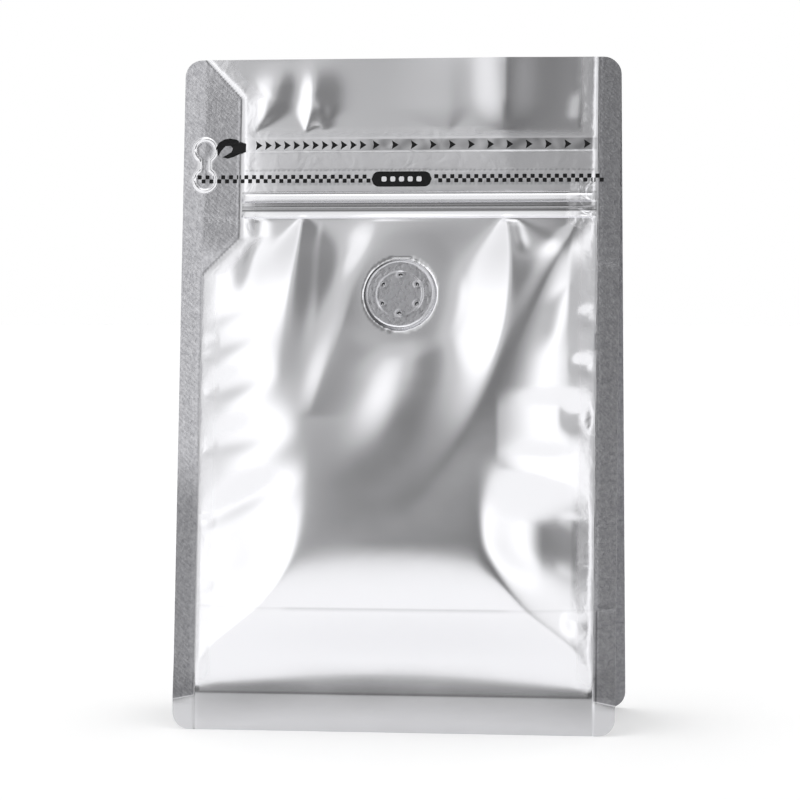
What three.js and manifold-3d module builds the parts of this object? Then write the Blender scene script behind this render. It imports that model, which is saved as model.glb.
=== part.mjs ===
// A flat-bottom coffee bag of foil film, filled and shut, standing on its base.
//
// The film is one skin: a front and a back panel, a folded gusset on each side, four
// sealed fins where they meet, a sealed rim round the base and a mouth pressed flat.
// A pull-tab zipper crosses the front, and a degassing valve sits in its upper half.
//
// Millimetres. The origin is the middle of the base on the ground, +Z is up and the
// front faces -Y, so +X is on the right of someone who looks at the front.

import * as THREE from 'three';
import { mergeVertices } from 'three/addons/utils/BufferGeometryUtils.js';
import Module from 'manifold-3d';

const wasm = await Module();
wasm.setup();

// ---------------------------------------------------------------- driving dimensions

// The bag, measured over its fins
const WIDTH = 130;
const HEIGHT = 197;
const BASE_DEPTH = 57;
const CORNER_RADIUS = 5;

// The sealed fins at the four upright corners
const FIN_WIDTH = 6.5;
const FIN_THICK = 1;

// How far the tips of the front fins curl backwards
const FIN_CURL = 0.7;

// How far apart the front and the back fins stand at the mouth
const MOUTH_DEPTH = 3.6;

// The sealed strip along the foot, tucked in at the ground, and the base film inside it
const STRIP_HEIGHT = 11;
const STRIP_TUCK = 0.7;
const RIM_THICK = 1;
const RIM_CORNER = 3;
const BASE_FILM_HEIGHT = 8;
const BASE_FLAT_INSET = 15;

// Slope of the belly at heights above the ground, in mm out for each mm up: the film turns
// out of the foot strip, is nearly upright in the middle and leans back to the zipper
const BELLY_SLOPES = [
  [0, 0], [11, 0], [12.5, 0], [19, 0.2], [26, 0.3], [33, 0.29], [37, 0.22], [46, 0.14],
  [56, 0.06], [75, 0.005], [90, -0.03], [105, -0.08], [120, -0.16], [140, -0.18], [147, -0.12],
  [151, 0], [176, -0.03], [197, 0],
];

// How square the belly is across its width: round low down, flatter in two steps going up
const CROWN_POWERS = [3, 5.5, 10];
const CROWN_MIDDLE_RISE = [50, 110];
const CROWN_HIGH_RISE = [96, 135];

// The foot of a panel is a flat facet that leans out, cut off by a steeper side at each
// end, and the groove over the foot strip is widest in the middle
const FOOT_SIDE_SLOPE = 0.25;
const FOOT_SIDE_RISE = 0.3;
const FOOT_EDGE_ROUND = 0.35;
const FOOT_BLEND = [40, 80];
const GROOVE_HEIGHT = 4;
const GROOVE_FADE = [18, 36];

// The film stands up out of its seals in a narrow hem, which comes in above the foot strip
const HEM_RISE = 0.4;
const HEM_WIDTH = 0.9;
const HEM_COMES_IN = 9;

// The side gussets
const GUSSET_CREASE_START = 24;
const GUSSET_CREASE_FULL = 74;
const GUSSET_DEPTH_SHARE = 0.95;
const GUSSET_LEAF_POWER = 1.6;
const GUSSET_BELLY = 3;

// The wide sealed area beside the zipper, on the left fin of the front
const TAB_SEAL_EDGE = 47.5;
const TAB_SEAL_LOW = [133, 144];
const TAB_SEAL_HIGH = [185.5, 197];
const TAB_SEAL_RISE = 4;

// The zipper: its two ridges, each steep below a crest and shallow above it, and the tear
// strip that stands a little proud. The folds above it come in over the ridges' upper edge.
const ZIPPER_LOW = 150;
const TOP_FOLDS_COME_IN = [157, 158.5];
const ZIPPER_HIGH = 175.5;
const ZIPPER_RIDGES = [
  { low: 149.7, crest: 150.2, high: 152, proud: 0.7 },
  { low: 154.3, crest: 154.9, high: 157, proud: 0.8 },
];
const TEAR_STRIP = { low: 169.3, crest: 169.7, high: 173.7, proud: 0.3 };

// The lower mark that the flat-packed base gusset leaves in the panels
const FOLD_LINE_HEIGHT = 36;

// The pull tab, a bone-shaped bead pressed into the wide seal
const TAB_CENTRE = [-58.4, 165.7];
const TAB_LOBE_RADIUS = 3.9;
const TAB_LOBE_OFFSET = 4.4;
const TAB_WAIST = 2.3;
const TAB_BEAD = 1.3;
const TAB_PROUD = 0.35;

// The degassing valve
const VALVE_CENTRE = [1.4, 127.5];
const VALVE_RADIUS = 10.75;
const VALVE_RIM = 1.4;
const VALVE_STEP_RADIUS = 6.9;
const VALVE_THICK = 1.9;
const VALVE_PROUD = 0.6;
const VALVE_RECESS = 0.3;
const VALVE_HELD_RADIUS = 14;
const VALVE_FREE_RADIUS = 20;
const PINHOLE_RADIUS = 0.45;
const PINHOLE_CIRCLE = 5.8;
const PINHOLE_DEPTH = 0.9;
const PINHOLES = 6;
const CLEARANCE = 0.3;

// The mouth, a shallow slit between the two panels
const MOUTH_SLIT_HALF_LENGTH = 26;
const MOUTH_SLIT_HALF_WIDTH = 1;
const MOUTH_SLIT_DEEP = 2.5;

// Fineness of the mesh
const FRONT_STEPS = 34;
const BACK_STEPS = 18;
const GUSSET_STEPS = 8;
const BODY_RING_STEP = 4;
const GRID = 0.01;

// ---------------------------------------------------------------- folds of the panels

// A fold runs along three points of its crest. It opens out of the first one and closes
// before the last, over the two lengths of its fade; its width is that of the left and the
// right flank, and its roof tells how blunt the crest between two flat flanks is.
const FRONT_FOLDS = [
  // from the left end of the stiff zipper, over the old gusset fold
  { path: [[-28.3, 151.5], [-30.2, 134], [-33, 100]], width: [11, 16], out: 2.5, fade: [22, 34],
    roof: 0.02 },
  // up from the belly to the left of the valve
  { path: [[-24.5, 92], [-11.5, 129], [-3, 154]], width: [8, 26], out: 1.5, fade: [38, 10],
    roof: 0.2 },
  // under the valve
  { path: [[6.5, 116], [4, 100], [-9, 70]], width: [13, 16], out: 2.7, fade: [14, 30], roof: 0.3 },
  // from the right end of the zipper: a broad fan down to the belly, and one beside it
  { path: [[31.6, 151.5], [33, 119], [-1, 56]], width: [14, 26], out: 3.6, fade: [24, 62],
    roof: 0.02 },
  { path: [[55, 151.5], [45.5, 134], [35, 106]], width: [6, 40], out: 1.3, fade: [14, 26],
    roof: 0.1 },
];

// Folds above the zipper, where the film is drawn flat towards the mouth; the widest one
// runs up through the zipper's tape
const TOP_FOLDS = [
  { path: [[-44, 175], [-38.6, 184], [-36.5, 197]], width: [7, 6.5], out: 0.9, fade: [10, 8],
    roof: 0.15 },
  { path: [[-28.2, 175], [-26, 184], [-27, 199]], width: [5, 8], out: 1, fade: [9, 12], roof: 0.03 },
  { path: [[31.6, 157], [31.5, 180], [31, 215]], width: [24, 16], out: 1.7, fade: [40, 20],
    roof: 0.02 },
  { path: [[31.6, 175.5], [31.3, 190], [31, 215]], width: [10, 10], out: 0.8, fade: [10, 20],
    roof: 0.02 },
];

const BACK_FOLDS = [
  { path: [[-30, 199], [-30, 160], [-28, 112]], width: [6, 3], out: 0.8, fade: [12, 40], roof: 0.05 },
  { path: [[30, 199], [30, 165], [27, 118]], width: [4, 7], out: 0.8, fade: [12, 40], roof: 0.05 },
  { path: [[20, 168], [10, 120], [2, 70]], width: [8, 8], out: 0.9, fade: [20, 30], roof: 0.3 },
  { path: [[-12, 170], [-17, 138], [-14, 92]], width: [7, 8], out: -0.7, fade: [16, 24], roof: 0.3 },
];

// How round a fold is at the foot of its flanks and, at its lower end, along its crest, as
// shares of a flank's width
const FLANK_FOOT = 0.18;
const CREST_OPENS = 0.22;

// A pucker runs in from a seam, from one point to another, and takes away a share of the
// belly; its width is that below and above its middle
const FRONT_PUCKERS = [
  { from: [58.5, 120.5], to: [50, 121], width: [3.5, 4], share: 0.75 },
  { from: [58.5, 106], to: [49, 107], width: [3, 3.6], share: 0.75 },
  { from: [58.5, 91], to: [46, 92], width: [5, 6], share: 0.8 },
  { from: [58.5, 76], to: [30, 80], width: [3, 4], share: 0.2 },
  { from: [58.5, 52], to: [38, 56], width: [12, 11], share: 0.6 },
  { from: [58.5, 31], to: [47, 33], width: [4, 4], share: 0.5 },
  { from: [-58.5, 119], to: [-38, 127], width: [3, 6], share: 0.3 },
  { from: [-58.5, 110], to: [-36, 118], width: [3, 6.5], share: 0.36 },
  { from: [-58.5, 97], to: [-33, 106], width: [3, 6.5], share: 0.38 },
  { from: [-58.5, 82], to: [-26, 90], width: [3.5, 7], share: 0.34 },
  { from: [-58.5, 60], to: [-24, 77], width: [3, 5], share: 0.3 },
  { from: [-58.5, 47], to: [-38, 53], width: [5, 8], share: 0.3 },
];
const BACK_PUCKERS = [
  { from: [58.5, 152], to: [42, 149], width: [4, 4], share: 0.5 },
  { from: [58.5, 131], to: [40, 126], width: [4, 5], share: 0.5 },
  { from: [58.5, 108], to: [38, 112], width: [4, 4], share: 0.5 },
  { from: [58.5, 84], to: [36, 80], width: [4, 5], share: 0.5 },
  { from: [58.5, 58], to: [40, 62], width: [4, 4], share: 0.5 },
  { from: [-58.5, 158], to: [-43, 153], width: [4, 4], share: 0.5 },
  { from: [-58.5, 137], to: [-38, 141], width: [4, 5], share: 0.5 },
  { from: [-58.5, 118], to: [-42, 114], width: [4, 4], share: 0.5 },
  { from: [-58.5, 92], to: [-36, 97], width: [4, 5], share: 0.5 },
  { from: [-58.5, 66], to: [-38, 61], width: [4, 4], share: 0.5 },
  { from: [-58.5, 44], to: [-40, 48], width: [4, 4], share: 0.4 },
];
const MOST_TAKEN = 0.85;

// Folds and puckers come in over these distances from a seam and from the foot strip
const FREE_FROM_SEAM = 8;
const FREE_FROM_STRIP = 6;

// ------------------------------------------------------------------- worked-out sizes

const HALF_WIDTH = WIDTH / 2;
const PANEL_EDGE = HALF_WIDTH - FIN_WIDTH;

// ------------------------------------------------------------------------ small maths

function clamp01(value) {
  return Math.min(1, Math.max(0, value));
}

function smooth(from, to, value) {
  const t = clamp01((value - from) / (to - from));
  return t * t * (3 - 2 * t);
}

function mix(a, b, share) {
  return a + (b - a) * share;
}

function total(items, amount) {
  return items.reduce((sum, item) => sum + amount(item), 0);
}

// ------------------------------------------------------------------ shape of the seams

// Half the distance between the front and the back fins at a height
function seamDepth(z) {
  const tucked = STRIP_TUCK * (1 - clamp01(z / STRIP_HEIGHT));
  return mix(BASE_DEPTH, MOUTH_DEPTH, z / HEIGHT) / 2 - tucked;
}

// Half the width over the fins at a height, with the four round corners
function outlineHalfWidth(z) {
  const intoCorner = CORNER_RADIUS - Math.min(z, HEIGHT - z, CORNER_RADIUS);
  return HALF_WIDTH - CORNER_RADIUS + Math.sqrt(CORNER_RADIUS ** 2 - intoCorner ** 2);
}

// Distance from the middle to the left edge of the front panel, where the wide seal
// beside the zipper pushes it in
function leftPanelEdge(z) {
  const low = clamp01((z - TAB_SEAL_LOW[0]) / (TAB_SEAL_LOW[1] - TAB_SEAL_LOW[0]));
  const high = clamp01((z - TAB_SEAL_HIGH[0]) / (TAB_SEAL_HIGH[1] - TAB_SEAL_HIGH[0]));
  return mix(PANEL_EDGE, TAB_SEAL_EDGE, low - high);
}

// --------------------------------------------------------------- shape of the panels

// How far the middle of a panel stands out from its fins at a height: its slopes added up
function bellyAt(z) {
  let out = 0;
  for (let i = 1; i < BELLY_SLOPES.length; i++) {
    const [low, slopeLow] = BELLY_SLOPES[i - 1];
    const [high, slopeHigh] = BELLY_SLOPES[i];
    const climbed = clamp01((z - low) / (high - low));
    out += climbed * (high - low) * (slopeLow + mix(slopeLow, slopeHigh, climbed)) / 2;
  }
  return out;
}

// The belly across a panel: round above, and a flat facet with steep ends at the foot
function crowned(x, z) {
  const share = Math.min(1, Math.abs(x) / PANEL_EDGE);
  const groove = GROOVE_HEIGHT * (1 - share ** 2) * (1 - smooth(...GROOVE_FADE, z));
  const out = bellyAt(z - groove);
  const side = FOOT_SIDE_SLOPE * (PANEL_EDGE - Math.abs(x)) + FOOT_SIDE_RISE;
  const facet = Math.max(0, (out + side - Math.hypot(out - side, FOOT_EDGE_ROUND)) / 2);
  const [low, middle, high] = CROWN_POWERS;
  const lower = mix(low, middle, smooth(...CROWN_MIDDLE_RISE, z));
  const power = mix(lower, high, smooth(...CROWN_HIGH_RISE, z));
  return mix(facet, out * (1 - share ** power), smooth(...FOOT_BLEND, z));
}

// Height of a fold at a point of the panel
function foldAt(fold, x, z) {
  const [[x0, z0], [x1, z1], [x2, z2]] = fold.path;
  const run = z0 - z2;
  const t = clamp01((z0 - z) / run);
  const middle = (z0 - z1) / run;
  const bow = (x1 - mix(x0, x2, middle)) / (middle * (1 - middle));
  const crest = mix(x0, x2, t) + bow * t * (1 - t);
  const turn = (x2 - x0 + bow * (1 - 2 * t)) / run;
  const along = (z0 - z) * Math.sign(run);
  const opened = Math.sin(clamp01(along / fold.fade[0]) * Math.PI / 2);
  const flank = x < crest ? fold.width[0] : fold.width[1];
  const share = (x - crest) / Math.hypot(1, turn) / flank / Math.max(opened, 0.02);
  const away = Math.hypot(share, fold.roof + CREST_OPENS * t);
  const roof = FLANK_FOOT * Math.log1p(Math.exp((1 - away) / FLANK_FOOT));
  return fold.out * roof * opened * smooth(0, fold.fade[1], Math.abs(run) - along);
}

// Share of the belly that a pucker takes away at a point of the panel
function puckerAt(pucker, x, z) {
  const t = clamp01((x - pucker.from[0]) / (pucker.to[0] - pucker.from[0]));
  const middle = mix(pucker.from[1], pucker.to[1], t);
  const away = (z - middle) / (z < middle ? pucker.width[0] : pucker.width[1]);
  return pucker.share * Math.exp(-(away ** 2)) * (1 - smooth(0.1, 1, t));
}

// A ridge across the panel, straight up to its crest and straight down from it
function ridgeAt(ridge, z) {
  const below = (z - ridge.low) / (ridge.crest - ridge.low);
  const above = (ridge.high - z) / (ridge.high - ridge.crest);
  return ridge.proud * clamp01(Math.min(below, above));
}

// The tear strip is a band with a sloping edge on both sides
function tearStripAt(z) {
  const slope = TEAR_STRIP.crest - TEAR_STRIP.low;
  return TEAR_STRIP.proud * clamp01(Math.min(z - TEAR_STRIP.low, TEAR_STRIP.high - z) / slope);
}

// How free the film is to fold above the foot strip
function freeAboveStrip(z) {
  return smooth(STRIP_HEIGHT, STRIP_HEIGHT + FREE_FROM_STRIP, z);
}

// How far the film has risen out of its seals
function hem(inside, z) {
  const risen = Math.min(1, Math.max(0, inside) / HEM_WIDTH);
  return HEM_RISE * risen * smooth(STRIP_HEIGHT, STRIP_HEIGHT + HEM_COMES_IN, z);
}

// How far the front stands out from the plane of its fins
function frontSwell(x, z) {
  const left = leftPanelEdge(z);
  const fromLeft = Math.max(0, x + left);
  const inside = Math.min(fromLeft, PANEL_EDGE - x);
  const pushedIn = (PANEL_EDGE - left) / (PANEL_EDGE - TAB_SEAL_EDGE);
  const body = crowned(x, z) * mix(1, 1 - Math.exp(-fromLeft / TAB_SEAL_RISE), pushedIn);
  const loose = freeAboveStrip(z) * (1 - smooth(ZIPPER_LOW - HEM_WIDTH, ZIPPER_LOW + HEM_WIDTH, z));
  const taken = Math.min(MOST_TAKEN, total(FRONT_PUCKERS, (pucker) => puckerAt(pucker, x, z)));
  const folds = loose * total(FRONT_FOLDS, (fold) => foldAt(fold, x, z));
  const top = smooth(...TOP_FOLDS_COME_IN, z) * total(TOP_FOLDS, (fold) => foldAt(fold, x, z));
  const zipper = total(ZIPPER_RIDGES, (ridge) => ridgeAt(ridge, z)) + tearStripAt(z);
  const open = body * (1 - taken * loose) + (folds + top) * smooth(0, FREE_FROM_SEAM, inside);
  return open + hem(inside, z) + zipper * smooth(0, HEM_WIDTH, inside);
}

// The stiff valve holds the film round it flat
function frontDepth(x, z) {
  const open = seamDepth(z) + frontSwell(x, z);
  const away = Math.hypot(x - VALVE_CENTRE[0], z - VALVE_CENTRE[1]);
  const held = 1 - smooth(VALVE_RADIUS, VALVE_FREE_RADIUS, away);
  return mix(open, planeDepth(VALVE_PLANE, x, z), held);
}

function backDepth(x, z) {
  const inside = PANEL_EDGE - Math.abs(x);
  const taken = Math.min(MOST_TAKEN, total(BACK_PUCKERS, (pucker) => puckerAt(pucker, x, z)));
  const folds = total(BACK_FOLDS, (fold) => foldAt(fold, x, z)) * smooth(0, FREE_FROM_SEAM, inside);
  const loose = freeAboveStrip(z);
  const open = crowned(x, z) * (1 - taken * loose) + folds * loose;
  return seamDepth(z) + open + hem(inside, z);
}

// A plane on the front: how deep it is at its middle, how much less deep for each mm up
// (its lean) and how much deeper for each mm to the right (its turn)
function planeDepth(plane, x, z) {
  return plane.depth - plane.lean * (z - plane.z) + plane.turn * (x - plane.x);
}

// The plane that the valve lies in, fitted to a ring of points on the film round it
function fitValvePlane() {
  const [x, z] = VALVE_CENTRE;
  const points = 48;
  const plane = { x, z, depth: 0, lean: 0, turn: 0 };
  for (let i = 0; i < points; i++) {
    const angle = (i / points) * 2 * Math.PI;
    const px = x + VALVE_HELD_RADIUS * Math.cos(angle);
    const pz = z + VALVE_HELD_RADIUS * Math.sin(angle);
    const depth = seamDepth(pz) + frontSwell(px, pz);
    plane.depth += depth / points;
    plane.turn += 2 * depth * Math.cos(angle) / VALVE_HELD_RADIUS / points;
    plane.lean -= 2 * depth * Math.sin(angle) / VALVE_HELD_RADIUS / points;
  }
  return plane;
}

const VALVE_PLANE = fitValvePlane();

// --------------------------------------------------------------- shape of the gussets

// How far the crease down the middle of a gusset is drawn in at a height
function creaseDraw(z) {
  const film = BASE_DEPTH / 2;
  const folded = Math.sqrt(Math.max(0, film ** 2 - seamDepth(z) ** 2));
  return folded * GUSSET_DEPTH_SHARE * smooth(GUSSET_CREASE_START, GUSSET_CREASE_FULL, z);
}

// Distance from the middle of the bag to the gusset; share is 0 at the crease and 1 at
// the fin, and root is where that fin ends
function gussetOut(share, z, root) {
  const crease = PANEL_EDGE - creaseDraw(z);
  const leaf = 1 - (1 - share) ** GUSSET_LEAF_POWER;
  const swellUp = smooth(STRIP_HEIGHT, 30, z) * (1 - smooth(30, 66, z));
  return mix(crease, root, leaf) + GUSSET_BELLY * swellUp * (1 - share ** 2);
}

// -------------------------------------------------------------------- rings of the bag

// Places across a panel from one edge to the other, with one more just inside each hem
function panelColumns(from, to, steps) {
  const hemmed = Math.sign(to - from) * HEM_WIDTH;
  const columns = [from];
  for (let i = 0; i <= steps; i++) {
    columns.push(mix(from + hemmed, to - hemmed, i / steps));
  }
  columns.push(to);
  return columns;
}

// Points along the front panel at a height, from its left fin's tip to its right one's
function frontRow(z) {
  const tip = outlineHalfWidth(z);
  const tipDepth = seamDepth(z) - FIN_CURL;
  const film = panelColumns(-leftPanelEdge(z), PANEL_EDGE, FRONT_STEPS);
  return [[-tip, -tipDepth, z], ...film.map((x) => [x, -frontDepth(x, z), z]), [tip, -tipDepth, z]];
}

function backRow(z) {
  const tip = outlineHalfWidth(z);
  const film = panelColumns(PANEL_EDGE, -PANEL_EDGE, BACK_STEPS);
  return [[tip, seamDepth(z), z], ...film.map((x) => [x, backDepth(x, z), z]), [-tip, seamDepth(z), z]];
}

// Points along a gusset at a height, from the inner face of the front fin's tip to that
// of the back fin's; side is 1 on the right and -1 on the left
function gussetRow(z, side) {
  const inner = seamDepth(z) - FIN_THICK;
  const tip = outlineHalfWidth(z);
  const frontRoot = side < 0 ? leftPanelEdge(z) : PANEL_EDGE;
  const row = [[side * tip, FIN_CURL - inner, z]];
  for (let i = 0; i <= GUSSET_STEPS; i++) {
    const across = (2 * i) / GUSSET_STEPS - 1;
    const root = across < 0 ? frontRoot : PANEL_EDGE;
    row.push([side * gussetOut(Math.abs(across), z, root), inner * across, z]);
  }
  row.push([side * tip, inner, z]);
  return row;
}

// One whole ring, counterclockwise from above
function bagRing(z) {
  return [...frontRow(z), ...gussetRow(z, 1), ...backRow(z), ...gussetRow(z, -1).reverse()];
}

// Heights of the rings: close together round the corners, over the foot strip and at the
// edges and crests of the zipper
function ringHeights() {
  const heights = [0, STRIP_HEIGHT, 13, 15, 17, 19.5, 23, 28, 32];
  for (const turn of [0.2, 0.45, 0.7, 1]) {
    const rise = CORNER_RADIUS * (1 - Math.cos(turn * Math.PI / 2));
    heights.push(rise, HEIGHT - rise);
  }
  for (let z = FOLD_LINE_HEIGHT; z < ZIPPER_RIDGES[0].low; z += BODY_RING_STEP) {
    heights.push(z);
  }
  for (const ridge of ZIPPER_RIDGES) {
    heights.push(ridge.low, ridge.crest, ridge.high);
  }
  const slope = TEAR_STRIP.crest - TEAR_STRIP.low;
  heights.push(TEAR_STRIP.low, TEAR_STRIP.crest, TEAR_STRIP.high - slope, TEAR_STRIP.high);
  heights.push(160.5, 165, ZIPPER_HIGH, ZIPPER_HIGH + HEM_WIDTH, 181, TAB_SEAL_HIGH[0], 189, HEIGHT);
  return heights.sort((a, b) => a - b);
}

// Points round the base inside the rim: a rectangle with round corners
function baseRing(inset, z) {
  const halfX = PANEL_EDGE - RIM_THICK - inset;
  const halfY = seamDepth(0) - RIM_THICK - inset;
  const points = [];
  for (let corner = 0; corner < 4; corner++) {
    const sideX = corner === 0 || corner === 3 ? 1 : -1;
    const sideY = corner < 2 ? 1 : -1;
    for (let step = 0; step <= 3; step++) {
      const angle = (corner + step / 3) * Math.PI / 2;
      const x = sideX * (halfX - RIM_CORNER) + RIM_CORNER * Math.cos(angle);
      const y = sideY * (halfY - RIM_CORNER) + RIM_CORNER * Math.sin(angle);
      points.push([x, y, z]);
    }
  }
  return points;
}

// The slit of the mouth, pointed at both ends
function mouthRing(z) {
  const points = [];
  const steps = 12;
  for (let i = 0; i < 2 * steps; i++) {
    const angle = (i / steps) * Math.PI;
    const bow = MOUTH_SLIT_HALF_WIDTH * Math.sin(angle);
    points.push([MOUTH_SLIT_HALF_LENGTH * Math.cos(angle), bow, z]);
  }
  return points;
}

// -------------------------------------------------------------------- building a skin

// Collects rings and flat caps, and turns them into one closed mesh
class Skin {
  constructor() {
    this.positions = [];
    this.index = [];
  }

  // Points are kept to whole grid steps, so that no face comes out thinner than one
  addRing(points) {
    const first = this.positions.length / 3;
    const onGrid = points.map((point) => point.map((value) => Math.round(value / GRID) * GRID));
    this.positions.push(...onGrid.flat());
    return { first, count: points.length, points: onGrid };
  }

  // Walls between two rings that turn the same way, facing right of the walk along lower
  join(lower, upper) {
    for (let i = 0; i < lower.count; i++) {
      const next = (i + 1) % lower.count;
      const a = lower.first + i;
      const b = lower.first + next;
      const c = upper.first + next;
      const d = upper.first + i;
      this.index.push(a, b, c, a, c, d);
    }
  }

  // A flat face inside one ring, less a hole; up is 1 for a face that looks up
  cap(ring, hole, up) {
    const flat = (points) => points.map((point) => new THREE.Vector2(point[0], point[1]));
    const holes = hole ? [flat(hole.points)] : [];
    const contour = flat(ring.points);
    const corners = [...contour, ...holes.flat()];
    const indexOf = (k) => (k < ring.count ? ring.first + k : hole.first + k - ring.count);
    for (const [a, b, c] of THREE.ShapeUtils.triangulateShape(contour, holes)) {
      const turn = THREE.ShapeUtils.area([corners[a], corners[b], corners[c]]);
      const faces = turn * up > 0 ? [a, b, c] : [a, c, b];
      this.index.push(...faces.map(indexOf));
    }
  }

  geometry() {
    const geometry = new THREE.BufferGeometry();
    geometry.setAttribute('position', new THREE.Float32BufferAttribute(this.positions, 3));
    geometry.setIndex(this.index);
    return geometry;
  }
}

// ------------------------------------------------------------------- solids and cuts

function toSolid(geometry) {
  const bare = geometry.clone();
  bare.deleteAttribute('normal');
  bare.deleteAttribute('uv');
  const merged = mergeVertices(bare, 1e-4);
  const vertProperties = new Float32Array(merged.attributes.position.array);
  const triVerts = new Uint32Array(merged.index.array);
  return new wasm.Manifold(new wasm.Mesh({ numProp: 3, vertProperties, triVerts }));
}

function toGeometry(solid) {
  const mesh = solid.getMesh();
  const geometry = new THREE.BufferGeometry();
  geometry.setAttribute('position', new THREE.Float32BufferAttribute(mesh.vertProperties, 3));
  geometry.setIndex(Array.from(mesh.triVerts));
  geometry.computeVertexNormals();
  return geometry;
}

// Moves a shape drawn round the Z axis onto a plane of the front, its +Z looking out
function placeOnFront(geometry, plane) {
  const right = new THREE.Vector3(1, -plane.turn, 0).normalize();
  const out = right.clone().cross(new THREE.Vector3(0, plane.lean, 1)).normalize();
  const up = out.clone().cross(right);
  const place = new THREE.Matrix4().makeBasis(right, up, out);
  place.setPosition(plane.x, -plane.depth, plane.z);
  return geometry.clone().applyMatrix4(place);
}

// ------------------------------------------------------------------------- sub-parts

// The film itself, from the base film up through the rim, the belly and the zipper to
// the slit of the mouth
function bagSkin() {
  const skin = new Skin();
  const rings = ringHeights().map((z) => skin.addRing(bagRing(z)));
  for (let i = 1; i < rings.length; i++) {
    skin.join(rings[i - 1], rings[i]);
  }
  addBase(skin, rings[0]);
  addMouth(skin, rings[rings.length - 1]);
  return skin.geometry();
}

// Under the bag: the rim's lower edge, its inner face, and the film that sags to the ground
function addBase(skin, foot) {
  const rimFoot = skin.addRing(baseRing(0, 0));
  skin.cap(foot, rimFoot, -1);
  let outer = rimFoot;
  for (const [inset, z] of [[0, BASE_FILM_HEIGHT], [4, 4.2], [9, 1.2], [BASE_FLAT_INSET, 0]]) {
    const inner = skin.addRing(baseRing(inset, z));
    skin.join(inner, outer);
    outer = inner;
  }
  skin.cap(outer, null, -1);
}

function addMouth(skin, top) {
  const lip = skin.addRing(mouthRing(HEIGHT));
  const floor = skin.addRing(mouthRing(HEIGHT - MOUTH_SLIT_DEEP));
  skin.cap(top, lip, 1);
  skin.join(lip, floor);
  skin.cap(floor, null, 1);
}

// Outline of the pull tab: two round lobes and a waist, drawn in by an inset
function tabOutline(inset) {
  const lobe = TAB_LOBE_RADIUS - inset;
  const waist = TAB_WAIST - inset;
  const halfWidth = (s) => (Math.abs(s) < TAB_LOBE_OFFSET
    ? mix(waist, lobe, Math.sin((s / TAB_LOBE_OFFSET) * Math.PI / 2) ** 2)
    : Math.sqrt(Math.max(0, lobe ** 2 - (Math.abs(s) - TAB_LOBE_OFFSET) ** 2)));
  const reach = TAB_LOBE_OFFSET + lobe;
  const steps = 16;
  const right = [];
  for (let i = 0; i <= steps; i++) {
    const s = -reach * Math.cos((i / steps) * Math.PI);
    right.push(new THREE.Vector2(halfWidth(s), s));
  }
  const left = right.slice(1, -1).reverse().map((point) => new THREE.Vector2(-point.x, point.y));
  return [...right, ...left];
}

function pullTabBead() {
  const shape = new THREE.Shape(tabOutline(0));
  shape.holes.push(new THREE.Path(tabOutline(TAB_BEAD).reverse()));
  const bead = new THREE.ExtrudeGeometry(shape, { depth: FIN_THICK, bevelEnabled: false });
  bead.translate(0, 0, TAB_PROUD - FIN_THICK);
  const [x, z] = TAB_CENTRE;
  const lean = (BASE_DEPTH - MOUTH_DEPTH) / 2 / HEIGHT;
  const turn = FIN_CURL / (HALF_WIDTH - TAB_SEAL_EDGE);
  const depth = seamDepth(z) + turn * (x + TAB_SEAL_EDGE);
  return placeOnFront(bead, { x, z, depth, lean, turn });
}

// The pocket that the valve sits in
function valvePocket() {
  const radius = VALVE_RADIUS + CLEARANCE;
  const deep = VALVE_THICK - VALVE_PROUD + CLEARANCE;
  const tall = deep + VALVE_THICK;
  const pocket = new THREE.CylinderGeometry(radius, radius, tall, 48);
  pocket.rotateX(Math.PI / 2);
  pocket.translate(0, 0, tall / 2 - deep);
  return placeOnFront(pocket, VALVE_PLANE);
}

// The valve: a rim, a sunk ring, a raised middle and six pinholes
function valveSolid() {
  const top = VALVE_PROUD;
  const foot = VALVE_PROUD - VALVE_THICK;
  const inner = VALVE_RADIUS - VALVE_RIM;
  const profile = [
    [0, foot], [VALVE_RADIUS, foot], [VALVE_RADIUS, top - 0.3], [VALVE_RADIUS - 0.3, top],
    [inner + 0.3, top], [inner, top - VALVE_RECESS], [VALVE_STEP_RADIUS + 0.3, top - VALVE_RECESS],
    [VALVE_STEP_RADIUS, top], [0, top],
  ].map(([radius, height]) => new THREE.Vector2(radius, height));
  const disc = new THREE.LatheGeometry(profile, 48);
  disc.rotateX(Math.PI / 2);
  let solid = toSolid(disc);
  for (let i = 0; i < PINHOLES; i++) {
    const angle = (i / PINHOLES) * 2 * Math.PI + Math.PI / 2;
    const hole = new THREE.CylinderGeometry(PINHOLE_RADIUS, PINHOLE_RADIUS, 2 * PINHOLE_DEPTH, 10);
    hole.rotateX(Math.PI / 2);
    hole.translate(PINHOLE_CIRCLE * Math.cos(angle), PINHOLE_CIRCLE * Math.sin(angle), top);
    solid = solid.subtract(toSolid(hole));
  }
  return solid;
}

function pouch() {
  const body = toSolid(bagSkin()).add(toSolid(pullTabBead()));
  const foil = new THREE.MeshStandardMaterial({ color: 0xc9cacd, roughness: 0.3, metalness: 0.9 });
  const mesh = new THREE.Mesh(toGeometry(body.subtract(toSolid(valvePocket()))), foil);
  mesh.name = 'pouch';
  return mesh;
}

function degassingValve() {
  const foil = new THREE.MeshStandardMaterial({ color: 0xb9babd, roughness: 0.35, metalness: 0.8 });
  const mesh = new THREE.Mesh(placeOnFront(toGeometry(valveSolid()), VALVE_PLANE), foil);
  mesh.name = 'degassing_valve';
  return mesh;
}

const bag = new THREE.Group();
bag.add(pouch(), degassingValve());

export default bag;
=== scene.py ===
"""A filled flat-bottom coffee bag of silver foil film, with a pull-tab zipper and a
degassing valve, standing on a pale floor.

The shapes are worked out in millimetres, in the frame's axes: the origin is the middle of
the base on the ground, +Z is up and the front faces -Y. Meshes are made in metres.
"""

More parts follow.
